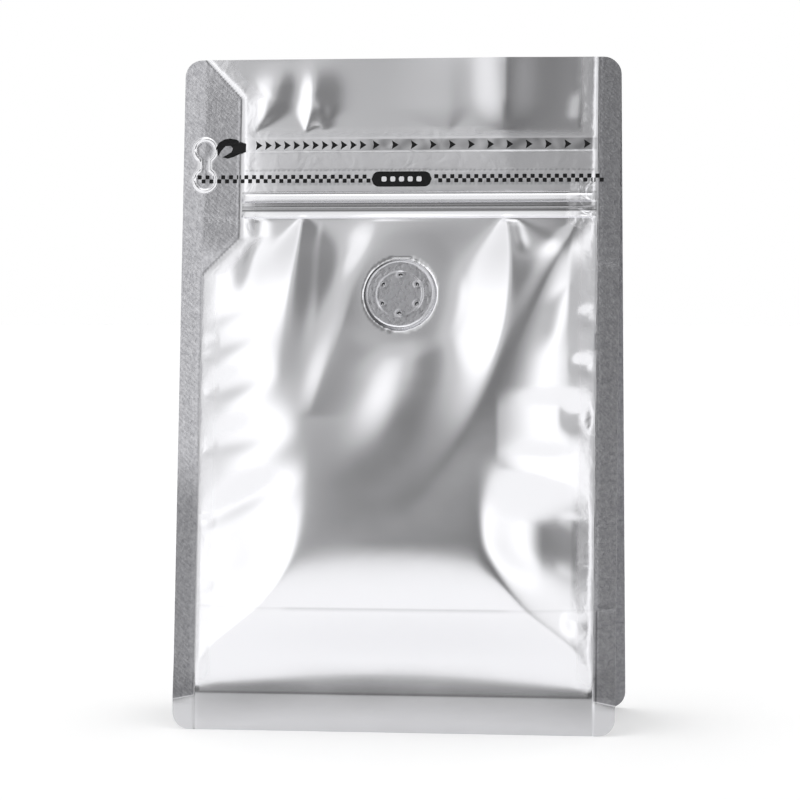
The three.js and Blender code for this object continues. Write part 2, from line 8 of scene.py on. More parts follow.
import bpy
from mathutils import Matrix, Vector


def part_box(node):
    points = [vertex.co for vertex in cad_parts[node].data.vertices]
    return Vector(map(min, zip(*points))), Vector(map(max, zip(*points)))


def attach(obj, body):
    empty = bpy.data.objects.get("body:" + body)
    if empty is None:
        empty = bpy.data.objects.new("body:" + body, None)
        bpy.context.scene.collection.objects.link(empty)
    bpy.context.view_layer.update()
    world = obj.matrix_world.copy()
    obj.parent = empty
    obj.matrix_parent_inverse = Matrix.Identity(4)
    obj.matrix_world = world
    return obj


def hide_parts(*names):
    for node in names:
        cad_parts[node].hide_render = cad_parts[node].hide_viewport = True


bl_info = {
    "name": "Flat-Bottom Coffee Bag",
    "version": (1, 0, 0),
    "blender": (4, 5, 0),
    "location": "View3D > Sidebar > Coffee Bag",
    "description": "Builds a foil coffee bag with its valve, zipper, prints and stage",
    "category": "Add Mesh",
}

import bpy
import numpy as np
from bpy.props import FloatProperty, FloatVectorProperty, IntProperty, PointerProperty
from mathutils import Matrix, Vector
from mathutils.geometry import tessellate_polygon

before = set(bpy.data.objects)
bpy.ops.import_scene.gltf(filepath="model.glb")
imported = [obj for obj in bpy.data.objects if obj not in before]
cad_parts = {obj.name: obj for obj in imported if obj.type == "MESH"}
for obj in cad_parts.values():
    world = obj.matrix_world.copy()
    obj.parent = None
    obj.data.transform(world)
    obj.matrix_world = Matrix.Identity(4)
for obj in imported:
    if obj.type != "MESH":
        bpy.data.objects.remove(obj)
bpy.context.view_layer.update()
POUCH_LOW, POUCH_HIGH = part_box("pouch")
MM = 0.001


# ------------------------------------------------------------------------- small maths


def clamp01(value):
    return np.clip(value, 0.0, 1.0)


def smooth(start, end, value):
    """0 before start, 1 after end, and a soft S between them."""
    t = clamp01((value - start) / (end - start))
    return t * t * (3 - 2 * t)


def mix(a, b, share):
    return a + (b - a) * share


def bell(away, half):
    """1 where away is 0, and falling off softly on both sides, to 0.37 at half."""
    return np.exp(-((away / half) ** 2))


def linear(hex_colour):
    """An sRGB hex colour as linear red, green and blue."""
    channels = [int(hex_colour[i : i + 2], 16) / 255 for i in (0, 2, 4)]
    return tuple(c / 12.92 if c <= 0.04045 else ((c + 0.055) / 1.055) ** 2.4 for c in channels)


# ------------------------------------------------------------------- sizes and colours


class BagSizes(bpy.types.PropertyGroup):
    width: FloatProperty(
        name="Width", description="Width over the fins", unit="LENGTH",
        default=POUCH_HIGH.x - POUCH_LOW.x)
    height: FloatProperty(
        name="Height", description="Height of the mouth above the ground", unit="LENGTH",
        default=POUCH_HIGH.z - POUCH_LOW.z)
    base_depth: FloatProperty(
        name="Base depth", description="Depth over the foot's fins", unit="LENGTH",
        default=57 * MM)
    fin_width: FloatProperty(
        name="Fin width", description="Width of the sealed fins", unit="LENGTH",
        default=6.5 * MM)
    film: FloatProperty(
        name="Film", description="Thickness of a sealed fin as drawn", unit="LENGTH",
        default=0.4 * MM)
    strip_height: FloatProperty(
        name="Foot strip", description="Height of the sealed strip round the foot",
        unit="LENGTH", default=11 * MM)
    zipper_low: FloatProperty(
        name="Zipper foot", description="Height of the zipper's lower edge", unit="LENGTH",
        default=150 * MM)
    fold: FloatProperty(
        name="Folds", description="How strongly the film is folded", subtype="FACTOR",
        min=0, max=2, default=1)


class ValveSizes(bpy.types.PropertyGroup):
    radius: FloatProperty(
        name="Radius", description="Outer radius of the valve", unit="LENGTH",
        default=10.75 * MM)
    inner: FloatProperty(
        name="Inner radius", description="Radius of the raised middle", unit="LENGTH",
        default=6.9 * MM)
    centre_x: FloatProperty(
        name="Across", description="Middle of the valve, to the right", unit="LENGTH",
        default=1.4 * MM)
    centre_z: FloatProperty(
        name="Up", description="Middle of the valve, above the ground", unit="LENGTH",
        default=127.5 * MM)
    pinholes: IntProperty(
        name="Pinholes", description="Number of holes in the middle", min=0, max=12,
        default=6)


class PrintSizes(bpy.types.PropertyGroup):
    checker_pitch: FloatProperty(
        name="Checker pitch", description="From one square to the next along a row",
        unit="LENGTH", default=2.37 * MM)
    arrow_pitch: FloatProperty(
        name="Arrow pitch", description="From one arrowhead to the next", unit="LENGTH",
        default=5.67 * MM)
    label_width: FloatProperty(
        name="Label width", description="Width of the round-ended label", unit="LENGTH",
        default=17.9 * MM)


class Finishes(bpy.types.PropertyGroup):
    foil: FloatVectorProperty(
        name="Foil", description="Aluminium layer of the film", subtype="COLOR",
        min=0, max=1, default=linear("F1F1F4"))
    seal: FloatVectorProperty(
        name="Seal", description="Film where the seal bar has pressed it", subtype="COLOR",
        min=0, max=1, default=linear("E8E8EB"))
    valve: FloatVectorProperty(
        name="Valve", description="Film over the valve", subtype="COLOR",
        min=0, max=1, default=linear("CDCDD1"))
    ink: FloatVectorProperty(
        name="Ink", description="Black ink of the prints", subtype="COLOR",
        min=0, max=1, default=linear("0B0B0C"))
    floor: FloatVectorProperty(
        name="Floor", description="Paper floor", subtype="COLOR",
        min=0, max=1, default=linear("F2F2F2"))


class StageSettings(bpy.types.PropertyGroup):
    lens: FloatProperty(
        name="Lens", description="Focal length of the camera", unit="CAMERA",
        default=138.9)
    floor_side: FloatProperty(
        name="Floor side", description="Side of the floor", unit="LENGTH", default=8)


# --------------------------------------------------------------- how the film is folded

# Slope of the front's belly at heights above the ground, in mm out per mm up: the film
# turns out of the foot strip, is nearly upright in the middle and leans back to the zipper
BELLY_HEIGHTS = [0, 11, 12.5, 19, 26, 33, 37, 46, 56, 75, 90, 105, 120, 140, 147, 151, 176, 197]
BELLY_SLOPES = [0, -0.02, 0, 0.2, 0.3, 0.29, 0.22, 0.14, 0.06, 0.005, -0.03,
                -0.08, -0.16, -0.18, -0.12, 0, -0.03, 0]

# How square the belly is across its width: round low down, flatter higher up, and the
# heights between which it turns from each into the next
CROWN_POWERS = (3, 5.5, 10)
CROWN_TURNS = ((50, 110), (96, 135))

# Below the base fold the front is a flat facet that leans out, cut off by a steeper side
# at each end, with a soft edge between them; the facet turns into the belly between these
# heights, and the groove over the foot strip is deepest in the middle
FOOT_SIDE_SLOPE = 0.25
FOOT_SIDE_START = 0.3
FOOT_EDGE_SOFTNESS = 0.35
FOOT_BLEND = (40, 80)
GROOVE_HEIGHT = 4
GROOVE_FADE = (18, 36)

# Past the mark of the flat-packed bag's right gusset fold, the film falls away by this
# share of its belly for each mm, between these heights
CREASE_RIGHT = 30.5
CREASE_FALL = 0.008
CREASE_HEIGHTS = (76, 82, 94, 102)

# Mark of the base gusset's fold: a sunk line that fades out at both ends, and on the fins
# a ridge just above it
BASE_FOLD_HEIGHT = 36
BASE_FOLD_ENDS = ((-32, -29), (35, 31))
BASE_FOLD_DEEP = 0.12
BASE_FOLD_HALF = 0.35
BASE_RIDGE_RISE = 0.6
BASE_RIDGE_PROUD = 0.15
BASE_RIDGE_HALF = 0.4

# Distance of the seams from the middle
SEAM = 58.5

# Folds that run down the front: points on the fold's crest, width on its left and right,
# how far it stands out, and over what length it opens out of a point and closes again. A
# fold with a roof has flat flanks and a crest of that roundness, the others are round. A
# blunt one starts with that share of its width in place of a point.
FRONT_FOLDS = [
    # from the left end of the stiff zipper, over the old gusset fold
    dict(path=[(-28.3, 151.5), (-30.2, 134), (-33, 100)], width=(11, 16), out=2.5,
         fade=(22, 34), roof=0.02),
    dict(path=[(-22.9, 149), (-22.4, 134), (-25.5, 104)], width=(3, 9), out=0.22,
         fade=(10, 20), roof=0.15),
    # up from the belly to the left of the valve
    dict(path=[(-24.5, 92), (-11.5, 129), (-3, 154)], width=(8, 26), out=1.5,
         fade=(38, 10), roof=0.1, blunt=0.4),
    dict(path=[(-42.5, 151), (-43, 141), (-46, 124)], width=(3, 3.5), out=-0.4,
         fade=(3, 14)),
    # under the valve
    dict(path=[(6.5, 116), (4, 100), (-9, 70)], width=(13, 16), out=2.7, fade=(14, 30),
         roof=0.3, blunt=0.5),
    # from the right end of the zipper: a broad fan, then the dark valley beside it
    dict(path=[(31.6, 151.5), (33, 119), (-1, 56)], width=(14, 26), out=3.6,
         fade=(24, 62), roof=0.02),
    dict(path=[(34.5, 150), (36, 145), (38, 139)], width=(1.5, 1.5), out=0.2, fade=(3, 4)),
    dict(path=[(55, 151.5), (45.5, 134), (35, 106)], width=(6, 22), out=1.1,
         fade=(14, 26), roof=0.1),
    dict(path=[(56, 150), (56.5, 140), (55, 128)], width=(2.5, 3), out=0.3, fade=(6, 8)),
    dict(path=[(51, 131), (50, 121), (46, 108)], width=(4, 4), out=0.4, fade=(8, 10)),
]

# Puckers that run in from a seam: where they start and end, width below and above, and the
# share of the belly that they take away. In a flat one the film lies flat on the seam's
# plane, out to a point; it is full over the share of its length that its reach gives.
FRONT_PUCKERS = [
    dict(path=[(SEAM, 120.5), (52, 121)], width=(3, 3.5), share=0.8, flat=True),
    dict(path=[(SEAM, 106), (51, 107)], width=(2.6, 3.4), share=0.8, flat=True),
    dict(path=[(SEAM, 91), (48, 92)], width=(5, 6), share=0.85, flat=True),
    dict(path=[(SEAM, 76), (30, 80)], width=(2.5, 4), share=0.2),
    dict(path=[(SEAM, 54), (24, 60)], width=(13, 20), share=0.5, flat=True, reach=0.42),
    dict(path=[(SEAM, 60), (47, 62)], width=(2.5, 3), share=0.14, flat=True),
    dict(path=[(SEAM, 46.5), (47, 49)], width=(2.5, 3), share=0.14, flat=True),
    dict(path=[(SEAM, 31), (49, 33)], width=(3.5, 3.5), share=0.55, flat=True),
    dict(path=[(-SEAM, 119), (-38, 127)], width=(3, 6), share=0.3),
    dict(path=[(-SEAM, 110), (-36, 118)], width=(3, 6.5), share=0.36),
    dict(path=[(-SEAM, 97), (-33, 106)], width=(3, 6.5), share=0.38),
    dict(path=[(-SEAM, 82), (-26, 90)], width=(3.5, 7), share=0.34),
    dict(path=[(-SEAM, 60), (-24, 77)], width=(3, 5), share=0.3),
    dict(path=[(-SEAM, 47), (-38, 53)], width=(5, 8), share=0.3),
]
# short nicks at the left seam, at these heights
LEFT_NICKS = (112.5, 108.5, 98, 81, 59.5, 41)
FRONT_PUCKERS += [dict(path=[(-SEAM, z), (-52, z + 1)], width=(1.2, 2), share=0.45)
                  for z in LEFT_NICKS]

# Folds above the zipper, where the film is drawn flat towards the mouth
TOP_FOLDS = [
    dict(path=[(-44, 175), (-38.6, 184), (-36.5, 197)], width=(7, 6.5), out=0.9, fade=(10, 8),
         roof=0.15),
    dict(path=[(-28.2, 175), (-26, 184), (-27, 199)], width=(5, 8), out=1,
         fade=(9, 12), roof=0.03),
    dict(path=[(-22.5, 176), (-23, 180), (-24, 186)], width=(2, 2.5), out=0.25, fade=(2, 4)),
    # an old gusset fold through the tape and up to the mouth, sharper above the tape
    dict(path=[(31.6, 157), (31.5, 180), (31, 215)], width=(24, 16), out=1.7, fade=(40, 20),
         roof=0.02, blunt=0.9),
    dict(path=[(31.6, 175.5), (31.3, 190), (31, 215)], width=(10, 10), out=0.8, fade=(10, 20),
         roof=0.02, blunt=0.5),
    dict(path=[(14.5, 175), (14, 190), (13, 210)], width=(14, 6), out=0.35, fade=(8, 20),
         roof=0.3),
    dict(path=[(53, 176), (54, 182), (54.5, 188)], width=(2.6, 2.2), out=0.45, fade=(4, 5)),
]

BACK_FOLDS = [
    dict(path=[(-30, 199), (-30, 160), (-28, 112)], width=(6, 3), out=0.8,
         fade=(12, 40), roof=0.05),
    dict(path=[(30, 199), (30, 165), (27, 118)], width=(4, 7), out=0.8,
         fade=(12, 40), roof=0.05),
    dict(path=[(20, 168), (10, 120), (2, 70)], width=(8, 8), out=0.9, fade=(20, 30)),
    dict(path=[(-12, 170), (-17, 138), (-14, 92)], width=(5, 6), out=-0.7, fade=(16, 24)),
    dict(path=[(48, 176), (40, 140), (24, 96)], width=(5, 5), out=-0.9, fade=(12, 26)),
]
BACK_PUCKERS = [
    dict(path=[(SEAM, 152), (42, 149)], width=(4, 4), share=0.5),
    dict(path=[(SEAM, 131), (40, 126)], width=(4, 5), share=0.5),
    dict(path=[(SEAM, 108), (38, 112)], width=(4, 4), share=0.5),
    dict(path=[(SEAM, 84), (36, 80)], width=(4, 5), share=0.5),
    dict(path=[(SEAM, 58), (40, 62)], width=(4, 4), share=0.5),
    dict(path=[(-SEAM, 158), (-43, 153)], width=(4, 4), share=0.5),
    dict(path=[(-SEAM, 137), (-38, 141)], width=(4, 5), share=0.5),
    dict(path=[(-SEAM, 118), (-42, 114)], width=(4, 4), share=0.5),
    dict(path=[(-SEAM, 92), (-36, 97)], width=(4, 5), share=0.5),
    dict(path=[(-SEAM, 66), (-38, 61)], width=(4, 4), share=0.5),
    dict(path=[(-SEAM, 44), (-40, 48)], width=(4, 4), share=0.4),
]

# How round a roof fold is at the foot of its flanks and, at its lower end, along its crest,
# and how wide a fold's point is at least, as shares of a flank's width
ROOF_FOOT = 0.18
ROOF_CREST = 0.22
FOLD_POINT = 0.02

# The reach of a flat pucker that gives none, how steep its flanks are, and how wide the
# tips of flat and of round puckers are, as shares of the width at the seam
FLAT_REACH = 0.15
FLAT_STEEPNESS = 2.6
FLAT_TIP = 0.6
ROUND_TIP = 1.3


def down_fold(fold, x, z):
    """Height of a fold through the three points of its path: it opens out of the first
    one and closes before the last."""
    (x0, z0), (x1, z1), (x2, z2) = fold["path"]
    run = z0 - z2
    t = clamp01((z0 - z) / run)
    middle = (z0 - z1) / run
    bow = (x1 - mix(x0, x2, middle)) / (middle * (1 - middle))
    centre = mix(x0, x2, t) + bow * t * (1 - t)
    turn = (x2 - x0 + bow * (1 - 2 * t)) / run
    across = (x - centre) / np.sqrt(1 + turn**2)
    opening, closing = fold["fade"]
    along = (z0 - z) * np.sign(run)
    opened = clamp01(along / opening)
    opened = opened * (1.5 - 0.5 * opened**2)
    narrowed = np.maximum(mix(fold.get("blunt", 0), 1, opened), FOLD_POINT)
    share = across / np.where(across < 0, *fold["width"]) / narrowed
    if fold.get("roof"):
        away = np.sqrt(share**2 + (fold["roof"] + ROOF_CREST * t) ** 2)
        shape = ROOF_FOOT * np.log1p(np.exp((1 - away) / ROOF_FOOT))
    else:
        shape = bell(share, 1)
    return fold["out"] * shape * opened * smooth(0, closing, abs(run) - along)


def pucker(fold, x, z):
    """Share of the belly taken away by a pucker that runs in from a seam."""
    (x0, z0), (x1, z1) = fold["path"]
    t = clamp01((x - x0) / (x1 - x0))
    centre = mix(z0, z1, t)
    away = np.abs(z - centre) / np.where(z < centre, *fold["width"])
    if fold.get("flat"):
        reach = 1 - smooth(fold.get("reach", FLAT_REACH), 1, t)
        return fold["share"] * np.exp(-((away / mix(1, FLAT_TIP, t)) ** FLAT_STEEPNESS)) * reach
    return fold["share"] * bell(away, mix(1, ROUND_TIP, t)) * (1 - smooth(0, 1, t))


# -------------------------------------------------------------------- shape of the film

# Corners of the fins, distance between the films at the mouth, and how far the foot strip
# tucks in below
CORNER_RADIUS = 5
MOUTH_DEPTH = 3.6
STRIP_TUCK = 0.7

# The wide seal at the left of the zipper: its edge's distance from the middle, the heights
# between which it widens and narrows, and how soon the belly rises beside it
TAB_SEAL_EDGE = 47.5
TAB_SEAL_LOW = (133, 144)
TAB_SEAL_HIGH = (185.5, 197)
TAB_SEAL_RISE = 4

# The film turns from free to pressed within this distance of a seal's edge
PRESSED_BLEND = 0.3

# The fins curl backwards, from below the foot strip's top to above it, and the seal bar
# leaves a thin bead just outside their inner edge
FIN_CURL = 0.7
FIN_CURL_STARTS = (-4, 12)
SEAM_BEAD = 0.08
SEAM_BEAD_HALF = 0.35
SEAM_BEAD_OUT = 0.6

# A crease that slants down to the right over the seals: a point of it, how much it falls
# for each mm, its half width and its depth
SEAL_CREASE_START = (-60, 149.6)
SEAL_CREASE_FALL = 0.12
SEAL_CREASE_HALF = 1.6
SEAL_CREASE_DEEP = 0.25

# The film stands up out of its seals in a narrow hem, which comes in over this height
# above the foot strip at the front and at the back
HEM_RISE = 0.4
HEM_WIDTH = 0.7
HEM_COMES_IN = 9
BACK_HEM_COMES_IN = 1.5

# What holds the folds: they grow over this height above the foot strip and this distance
# from a seam, end at the zipper's foot between these heights and start again above it
LOOSE_ABOVE_STRIP = 6
FREE_FROM_SEAM = 8
ZIPPER_HOLDS = (-1.5, 1)
TOP_FOLDS_START = (157, 158.5)

# The most that puckers together may take away of the belly, at the front and the back
MOST_TAKEN = 0.92
BACK_MOST_TAKEN = 0.85

# Ridges of the zipper: lower edge, upper edge and height, and how far up their crest is;
# they and the tear strip fade out within this distance of a seal
ZIPPER_RIDGES = [(149.7, 152, 0.7), (154.3, 157, 0.8)]
ZIPPER_CREST = 0.22
TEAR_STRIP = (169.7, 173.3)
TEAR_STRIP_PROUD = 0.12
TEAR_STRIP_SLOPE = 0.4
RELIEF_FADE = (0.3, 1.5)

# Sunk lines across the front: height, half width, depth
FRONT_LINES = [(157.1, 0.25, 0.12), (163.9, 0.3, 0.06), (152.6, 0.3, 0.2)]

# Lines of painted shade across the zipper: height, half width, how dark; and a dotted one
DARK_LINES = [(152.1, 0.35, 0.85), (153, 0.9, 0.6), (154.1, 0.25, 0.5), (157.3, 0.3, 0.5)]
DOTTED_LINE = (163.9, 0.3, 0.4)

# The pull tab: a bone-shaped bead, whose waist widens into its lobes
TAB_CENTRE = (-58.4, 165.7)
TAB_LOBE_RADIUS = 3.3
TAB_LOBE_OFFSET = 4.4
TAB_WAIST = 1.6
TAB_SHOULDER = 0.86
TAB_BEAD_HALF = 0.55
TAB_BEAD_PROUD = 0.5

# The side gussets: the heights over which their crease draws in and the share of its full
# depth, how round their leaves are, the belly of their foot with the height where it is
# full and where it ends, and wrinkles with their wavelengths up the gusset, over 2 pi
GUSSET_CREASE = (24, 74)
GUSSET_DEPTH_SHARE = 0.95
GUSSET_LEAF_POWER = 1.6
GUSSET_BELLY = 3
GUSSET_BELLY_HEIGHTS = (30, 66)
GUSSET_WRINKLE = 0.5
GUSSET_WRINKLE_LENGTHS = (7.1, 16.3)

# The valve, and how the film lies round it: level with it to its edge, free again farther
# out, and sunk under it within this band inside its edge
VALVE_THICK = 1.9
VALVE_PROUD = 0.55
VALVE_HELD = 14
VALVE_FREE = 20
VALVE_SINK = 0.5
VALVE_SINK_BAND = (0.1, 0.5)

# The base rim and film: how far each ring lies in from the seams, and its height
BASE_RINGS = [(0.8, 0), (1, 7.5), (4, 4.2), (9, 1.2), (15, 0)]
BASE_CORNER = 3

# The slit of the mouth: half its length and width, its depth and the number of its points
SLIT_HALF = (26, 1.1)
SLIT_DEEP = 9
SLIT_POINTS = 64


class Film:
    """The bag's film in mm, worked out from the sizes."""

    def __init__(self, settings):
        bag = settings.bag_sizes
        valve = settings.valve_sizes
        self.half_width = bag.width / MM / 2
        self.height = bag.height / MM
        self.base_depth = bag.base_depth / MM
        self.edge = self.half_width - bag.fin_width / MM
        self.fin_thick = bag.film / MM
        self.strip = bag.strip_height / MM
        self.zipper_low = bag.zipper_low / MM
        self.fold = bag.fold
        self.valve = (valve.centre_x / MM, valve.centre_z / MM)
        self.valve_radius = valve.radius / MM
        steps = np.linspace(0, self.height, 2000)
        slopes = np.interp(steps, BELLY_HEIGHTS, BELLY_SLOPES)
        climbs = (slopes[1:] + slopes[:-1]) / 2 * np.diff(steps)
        self.belly_steps = steps
        self.belly_out = np.concatenate([[0], np.cumsum(climbs)])
        self.lay_valve()

    def lay_valve(self):
        """The plane that the stiff valve lies in, fitted to the film round it."""
        turn = np.linspace(0, 2 * np.pi, 48, endpoint=False)
        along_x, along_z = np.cos(turn), np.sin(turn)
        x = self.valve[0] + VALVE_HELD * along_x
        z = self.valve[1] + VALVE_HELD * along_z
        depth = self.seam(z) + self.front_swell(x, z)
        self.valve_depth = np.mean(depth)
        self.valve_turn = 2 * np.mean(depth * along_x) / VALVE_HELD
        self.valve_lean = -2 * np.mean(depth * along_z) / VALVE_HELD

    def valve_plane(self, x, z):
        away_x = x - self.valve[0]
        away_z = z - self.valve[1]
        return self.valve_depth - self.valve_lean * away_z + self.valve_turn * away_x

    def seam(self, z):
        """Half the distance between the front and the back fins."""
        tapered = mix(self.base_depth, MOUTH_DEPTH, z / self.height) / 2
        return tapered - STRIP_TUCK * (1 - clamp01(z / self.strip))

    def outline(self, z):
        """Half the width over the fins, with the round corners."""
        into = CORNER_RADIUS - np.minimum(np.minimum(z, self.height - z), CORNER_RADIUS)
        return self.half_width - CORNER_RADIUS + np.sqrt(CORNER_RADIUS**2 - into**2)

    def left_edge(self, z):
        """From the middle to the left edge of the free front panel."""
        share = clamp01((z - TAB_SEAL_LOW[0]) / (TAB_SEAL_LOW[1] - TAB_SEAL_LOW[0]))
        share -= clamp01((z - TAB_SEAL_HIGH[0]) / (TAB_SEAL_HIGH[1] - TAB_SEAL_HIGH[0]))
        return mix(self.edge, TAB_SEAL_EDGE, share)

    def inside(self, x, z):
        """How far a point of the front lies inside the free panel, negative in a seal."""
        step = 0.1
        slope = (self.left_edge(z + step) - self.left_edge(z - step)) / (2 * step)
        slant = 1 / np.sqrt(1 + slope**2)
        return np.minimum((x + self.left_edge(z)) * slant, self.edge - x)

    def belly(self, z):
        return np.interp(z, self.belly_steps, self.belly_out)

    def crowned(self, x, z):
        """The belly of a panel: a round crown, with a flat facet with steep ends at its foot."""
        share = np.minimum(1, np.abs(x) / self.edge)
        groove = GROOVE_HEIGHT * (1 - share**2) * (1 - smooth(*GROOVE_FADE, z))
        out = self.belly(z - groove)
        side = FOOT_SIDE_SLOPE * (self.edge - np.abs(x)) + FOOT_SIDE_START
        low, middle, high = CROWN_POWERS
        to_middle, to_high = CROWN_TURNS
        power = mix(mix(low, middle, smooth(*to_middle, z)), high, smooth(*to_high, z))
        facet = (out + side - np.sqrt((out - side) ** 2 + FOOT_EDGE_SOFTNESS**2)) / 2
        facet = np.where(np.abs(x) > self.edge, np.maximum(0, facet), facet)
        foot, low, high, top = CREASE_HEIGHTS
        fall = CREASE_FALL * smooth(foot, low, z) * smooth(top, high, z)
        belly = out * (1 - share**power) * (1 - fall * np.maximum(0, x - CREASE_RIGHT))
        return mix(facet, belly, smooth(*FOOT_BLEND, z))

    def curl(self, x, z):
        """How far the front fins curl back, above the foot strip that holds them flat."""
        share = np.maximum(0, (np.abs(x) - self.edge) / (self.half_width - self.edge))
        below, above = FIN_CURL_STARTS
        return FIN_CURL * share * smooth(self.strip + below, self.strip + above, z)

    def hem(self, inside):
        return HEM_RISE * (1 - bell(np.maximum(0, inside), HEM_WIDTH))

    def zipper_relief(self, x, z):
        relief = 0 * z
        for low, high, proud in ZIPPER_RIDGES:
            crest = mix(low, high, ZIPPER_CREST)
            away = np.where(z > crest, (z - crest) / (high - crest), (crest - z) / (crest - low))
            relief = relief + proud * np.maximum(0, 1 - away)
        low, high = TEAR_STRIP
        strip = TEAR_STRIP_PROUD * smooth(low - TEAR_STRIP_SLOPE, low, z)
        relief = relief + strip * smooth(high + TEAR_STRIP_SLOPE, high, z)
        for height, half, deep in FRONT_LINES:
            relief = relief - deep * bell(z - height, half)
        return relief

    def front_swell(self, x, z):
        """How far the front panel stands out from the plane of its fins."""
        from_left = np.maximum(0, x + self.left_edge(z))
        inset = (self.edge - self.left_edge(z)) / (self.edge - TAB_SEAL_EDGE)
        body = self.crowned(x, z) * mix(1, 1 - np.exp(-from_left / TAB_SEAL_RISE), inset)
        inside = np.maximum(0, self.inside(x, z))
        below, above = ZIPPER_HOLDS
        loose = smooth(self.strip, self.strip + LOOSE_ABOVE_STRIP, z)
        loose = loose * (1 - smooth(self.zipper_low + below, self.zipper_low + above, z))
        taken = sum(pucker(fold, x, z) for fold in FRONT_PUCKERS)
        out = body * (1 - np.minimum(MOST_TAKEN, self.fold * taken) * loose)
        folds = sum(down_fold(fold, x, z) for fold in FRONT_FOLDS)
        top = sum(down_fold(fold, x, z) for fold in TOP_FOLDS)
        free = smooth(0, FREE_FROM_SEAM, inside) * self.fold
        out = out + free * (folds * loose + top * smooth(*TOP_FOLDS_START, z))
        out = out + self.hem(inside) * smooth(self.strip, self.strip + HEM_COMES_IN, z)
        return out + self.zipper_relief(x, z) * smooth(*RELIEF_FADE, inside)

    def tab_bead(self, x, z):
        """The bone-shaped bead pressed into the wide seal."""
        u = np.abs(x - TAB_CENTRE[0])
        v = np.abs(z - TAB_CENTRE[1])
        lobe = np.hypot(u, v - TAB_LOBE_OFFSET) - TAB_LOBE_RADIUS
        shoulder = TAB_LOBE_RADIUS * TAB_SHOULDER
        waist = u - mix(TAB_WAIST, shoulder, clamp01(v / TAB_LOBE_OFFSET) ** 3)
        outline = np.minimum(lobe, np.where(v < TAB_LOBE_OFFSET, waist, lobe))
        return TAB_BEAD_PROUD * bell(outline, TAB_BEAD_HALF)

    def base_marks(self, x, z):
        """The line that the base gusset's fold leaves on the panel, and its ridge on the fins."""
        line = -BASE_FOLD_DEEP * bell(z - BASE_FOLD_HEIGHT, BASE_FOLD_HALF)
        ridge = BASE_RIDGE_PROUD * bell(z - BASE_FOLD_HEIGHT - BASE_RIDGE_RISE, BASE_RIDGE_HALF)
        on_fin = smooth(self.edge, self.edge + 0.5, np.abs(x))
        left, right = BASE_FOLD_ENDS
        return line * (smooth(*left, x) * smooth(*right, x)) + ridge * on_fin

    def front(self, x, z):
        """Depth of the front film, from the middle plane of the bag."""
        inside = self.inside(x, z)
        open_film = self.seam(z) + self.front_swell(x, z) + self.base_marks(x, z)
        pressed = smooth(PRESSED_BLEND, -PRESSED_BLEND, inside)
        start_x, start_z = SEAL_CREASE_START
        above = z - start_z + SEAL_CREASE_FALL * (x - start_x)
        crease = -SEAL_CREASE_DEEP * bell(above, SEAL_CREASE_HALF)
        bead = SEAM_BEAD * bell(inside + SEAM_BEAD_OUT, SEAM_BEAD_HALF)
        bead = bead * smooth(self.strip, self.strip + LOOSE_ABOVE_STRIP, z)
        open_film = open_film + pressed * (self.tab_bead(x, z) + crease + bead) - self.curl(x, z)
        away = np.hypot(x - self.valve[0], z - self.valve[1])
        held = 1 - smooth(self.valve_radius, VALVE_FREE, away)
        flat = mix(open_film, self.valve_plane(x, z), held)
        outer, inner = (self.valve_radius - inset for inset in VALVE_SINK_BAND)
        return flat - VALVE_SINK * smooth(outer, inner, away)

    def back(self, x, z):
        """Depth of the back film, which has no zipper and no valve."""
        inside = np.maximum(0, self.edge - np.abs(x))
        loose = smooth(self.strip, self.strip + LOOSE_ABOVE_STRIP, z)
        taken = sum(pucker(fold, x, z) for fold in BACK_PUCKERS)
        out = self.crowned(x, z) * (1 - np.minimum(BACK_MOST_TAKEN, self.fold * taken) * loose)
        folds = sum(down_fold(fold, x, z) for fold in BACK_FOLDS)
        out = out + folds * loose * smooth(0, FREE_FROM_SEAM, inside) * self.fold
        foot = smooth(self.strip, self.strip + BACK_HEM_COMES_IN, z)
        return self.seam(z) + out + self.hem(inside) * foot

    def gusset(self, share, z, root):
        """From the middle of the bag to a gusset; share is 0 at its crease, 1 at a fin."""
        folded = np.sqrt(np.maximum(0, (self.base_depth / 2) ** 2 - self.seam(z) ** 2))
        drawn = folded * GUSSET_DEPTH_SHARE
        drawn = drawn * smooth(*GUSSET_CREASE, z)
        leaf = 1 - (1 - share) ** GUSSET_LEAF_POWER
        full, end = GUSSET_BELLY_HEIGHTS
        swell = smooth(self.strip, full, z) * (1 - smooth(full, end, z))
        short, long = GUSSET_WRINKLE_LENGTHS
        wrinkle = GUSSET_WRINKLE * np.sin(z / short + 3 * share) * np.sin(z / long)
        wrinkle = wrinkle * (1 - share**2) * share
        return mix(self.edge - drawn, root, leaf) + GUSSET_BELLY * swell * (1 - share**2) + wrinkle


# ----------------------------------------------------------------------- mesh building


def spaced(*stops):
    """Heights or columns: pairs of (up to here, step), the first one giving the start."""
    points = [stops[0]]
    for end, step in stops[1:]:
        count = max(1, round(abs(end - points[-1]) / step))
        points.extend(np.linspace(points[-1], end, count + 1)[1:])
    return np.array(points)


# How many steps a corner of the fins, a front fin and a back fin have, how far apart the
# front's columns are in the wide seal and right of it, and the back's, and how many points
# a gusset has across
CORNER_STEPS = 12
FRONT_FIN_STEPS = 14
BACK_FIN_STEPS = 8
WIDE_SEAL_COLUMNS = (-45, 0.3)
FRONT_COLUMN = 0.6
BACK_COLUMN = 1.1
GUSSET_POINTS = 37


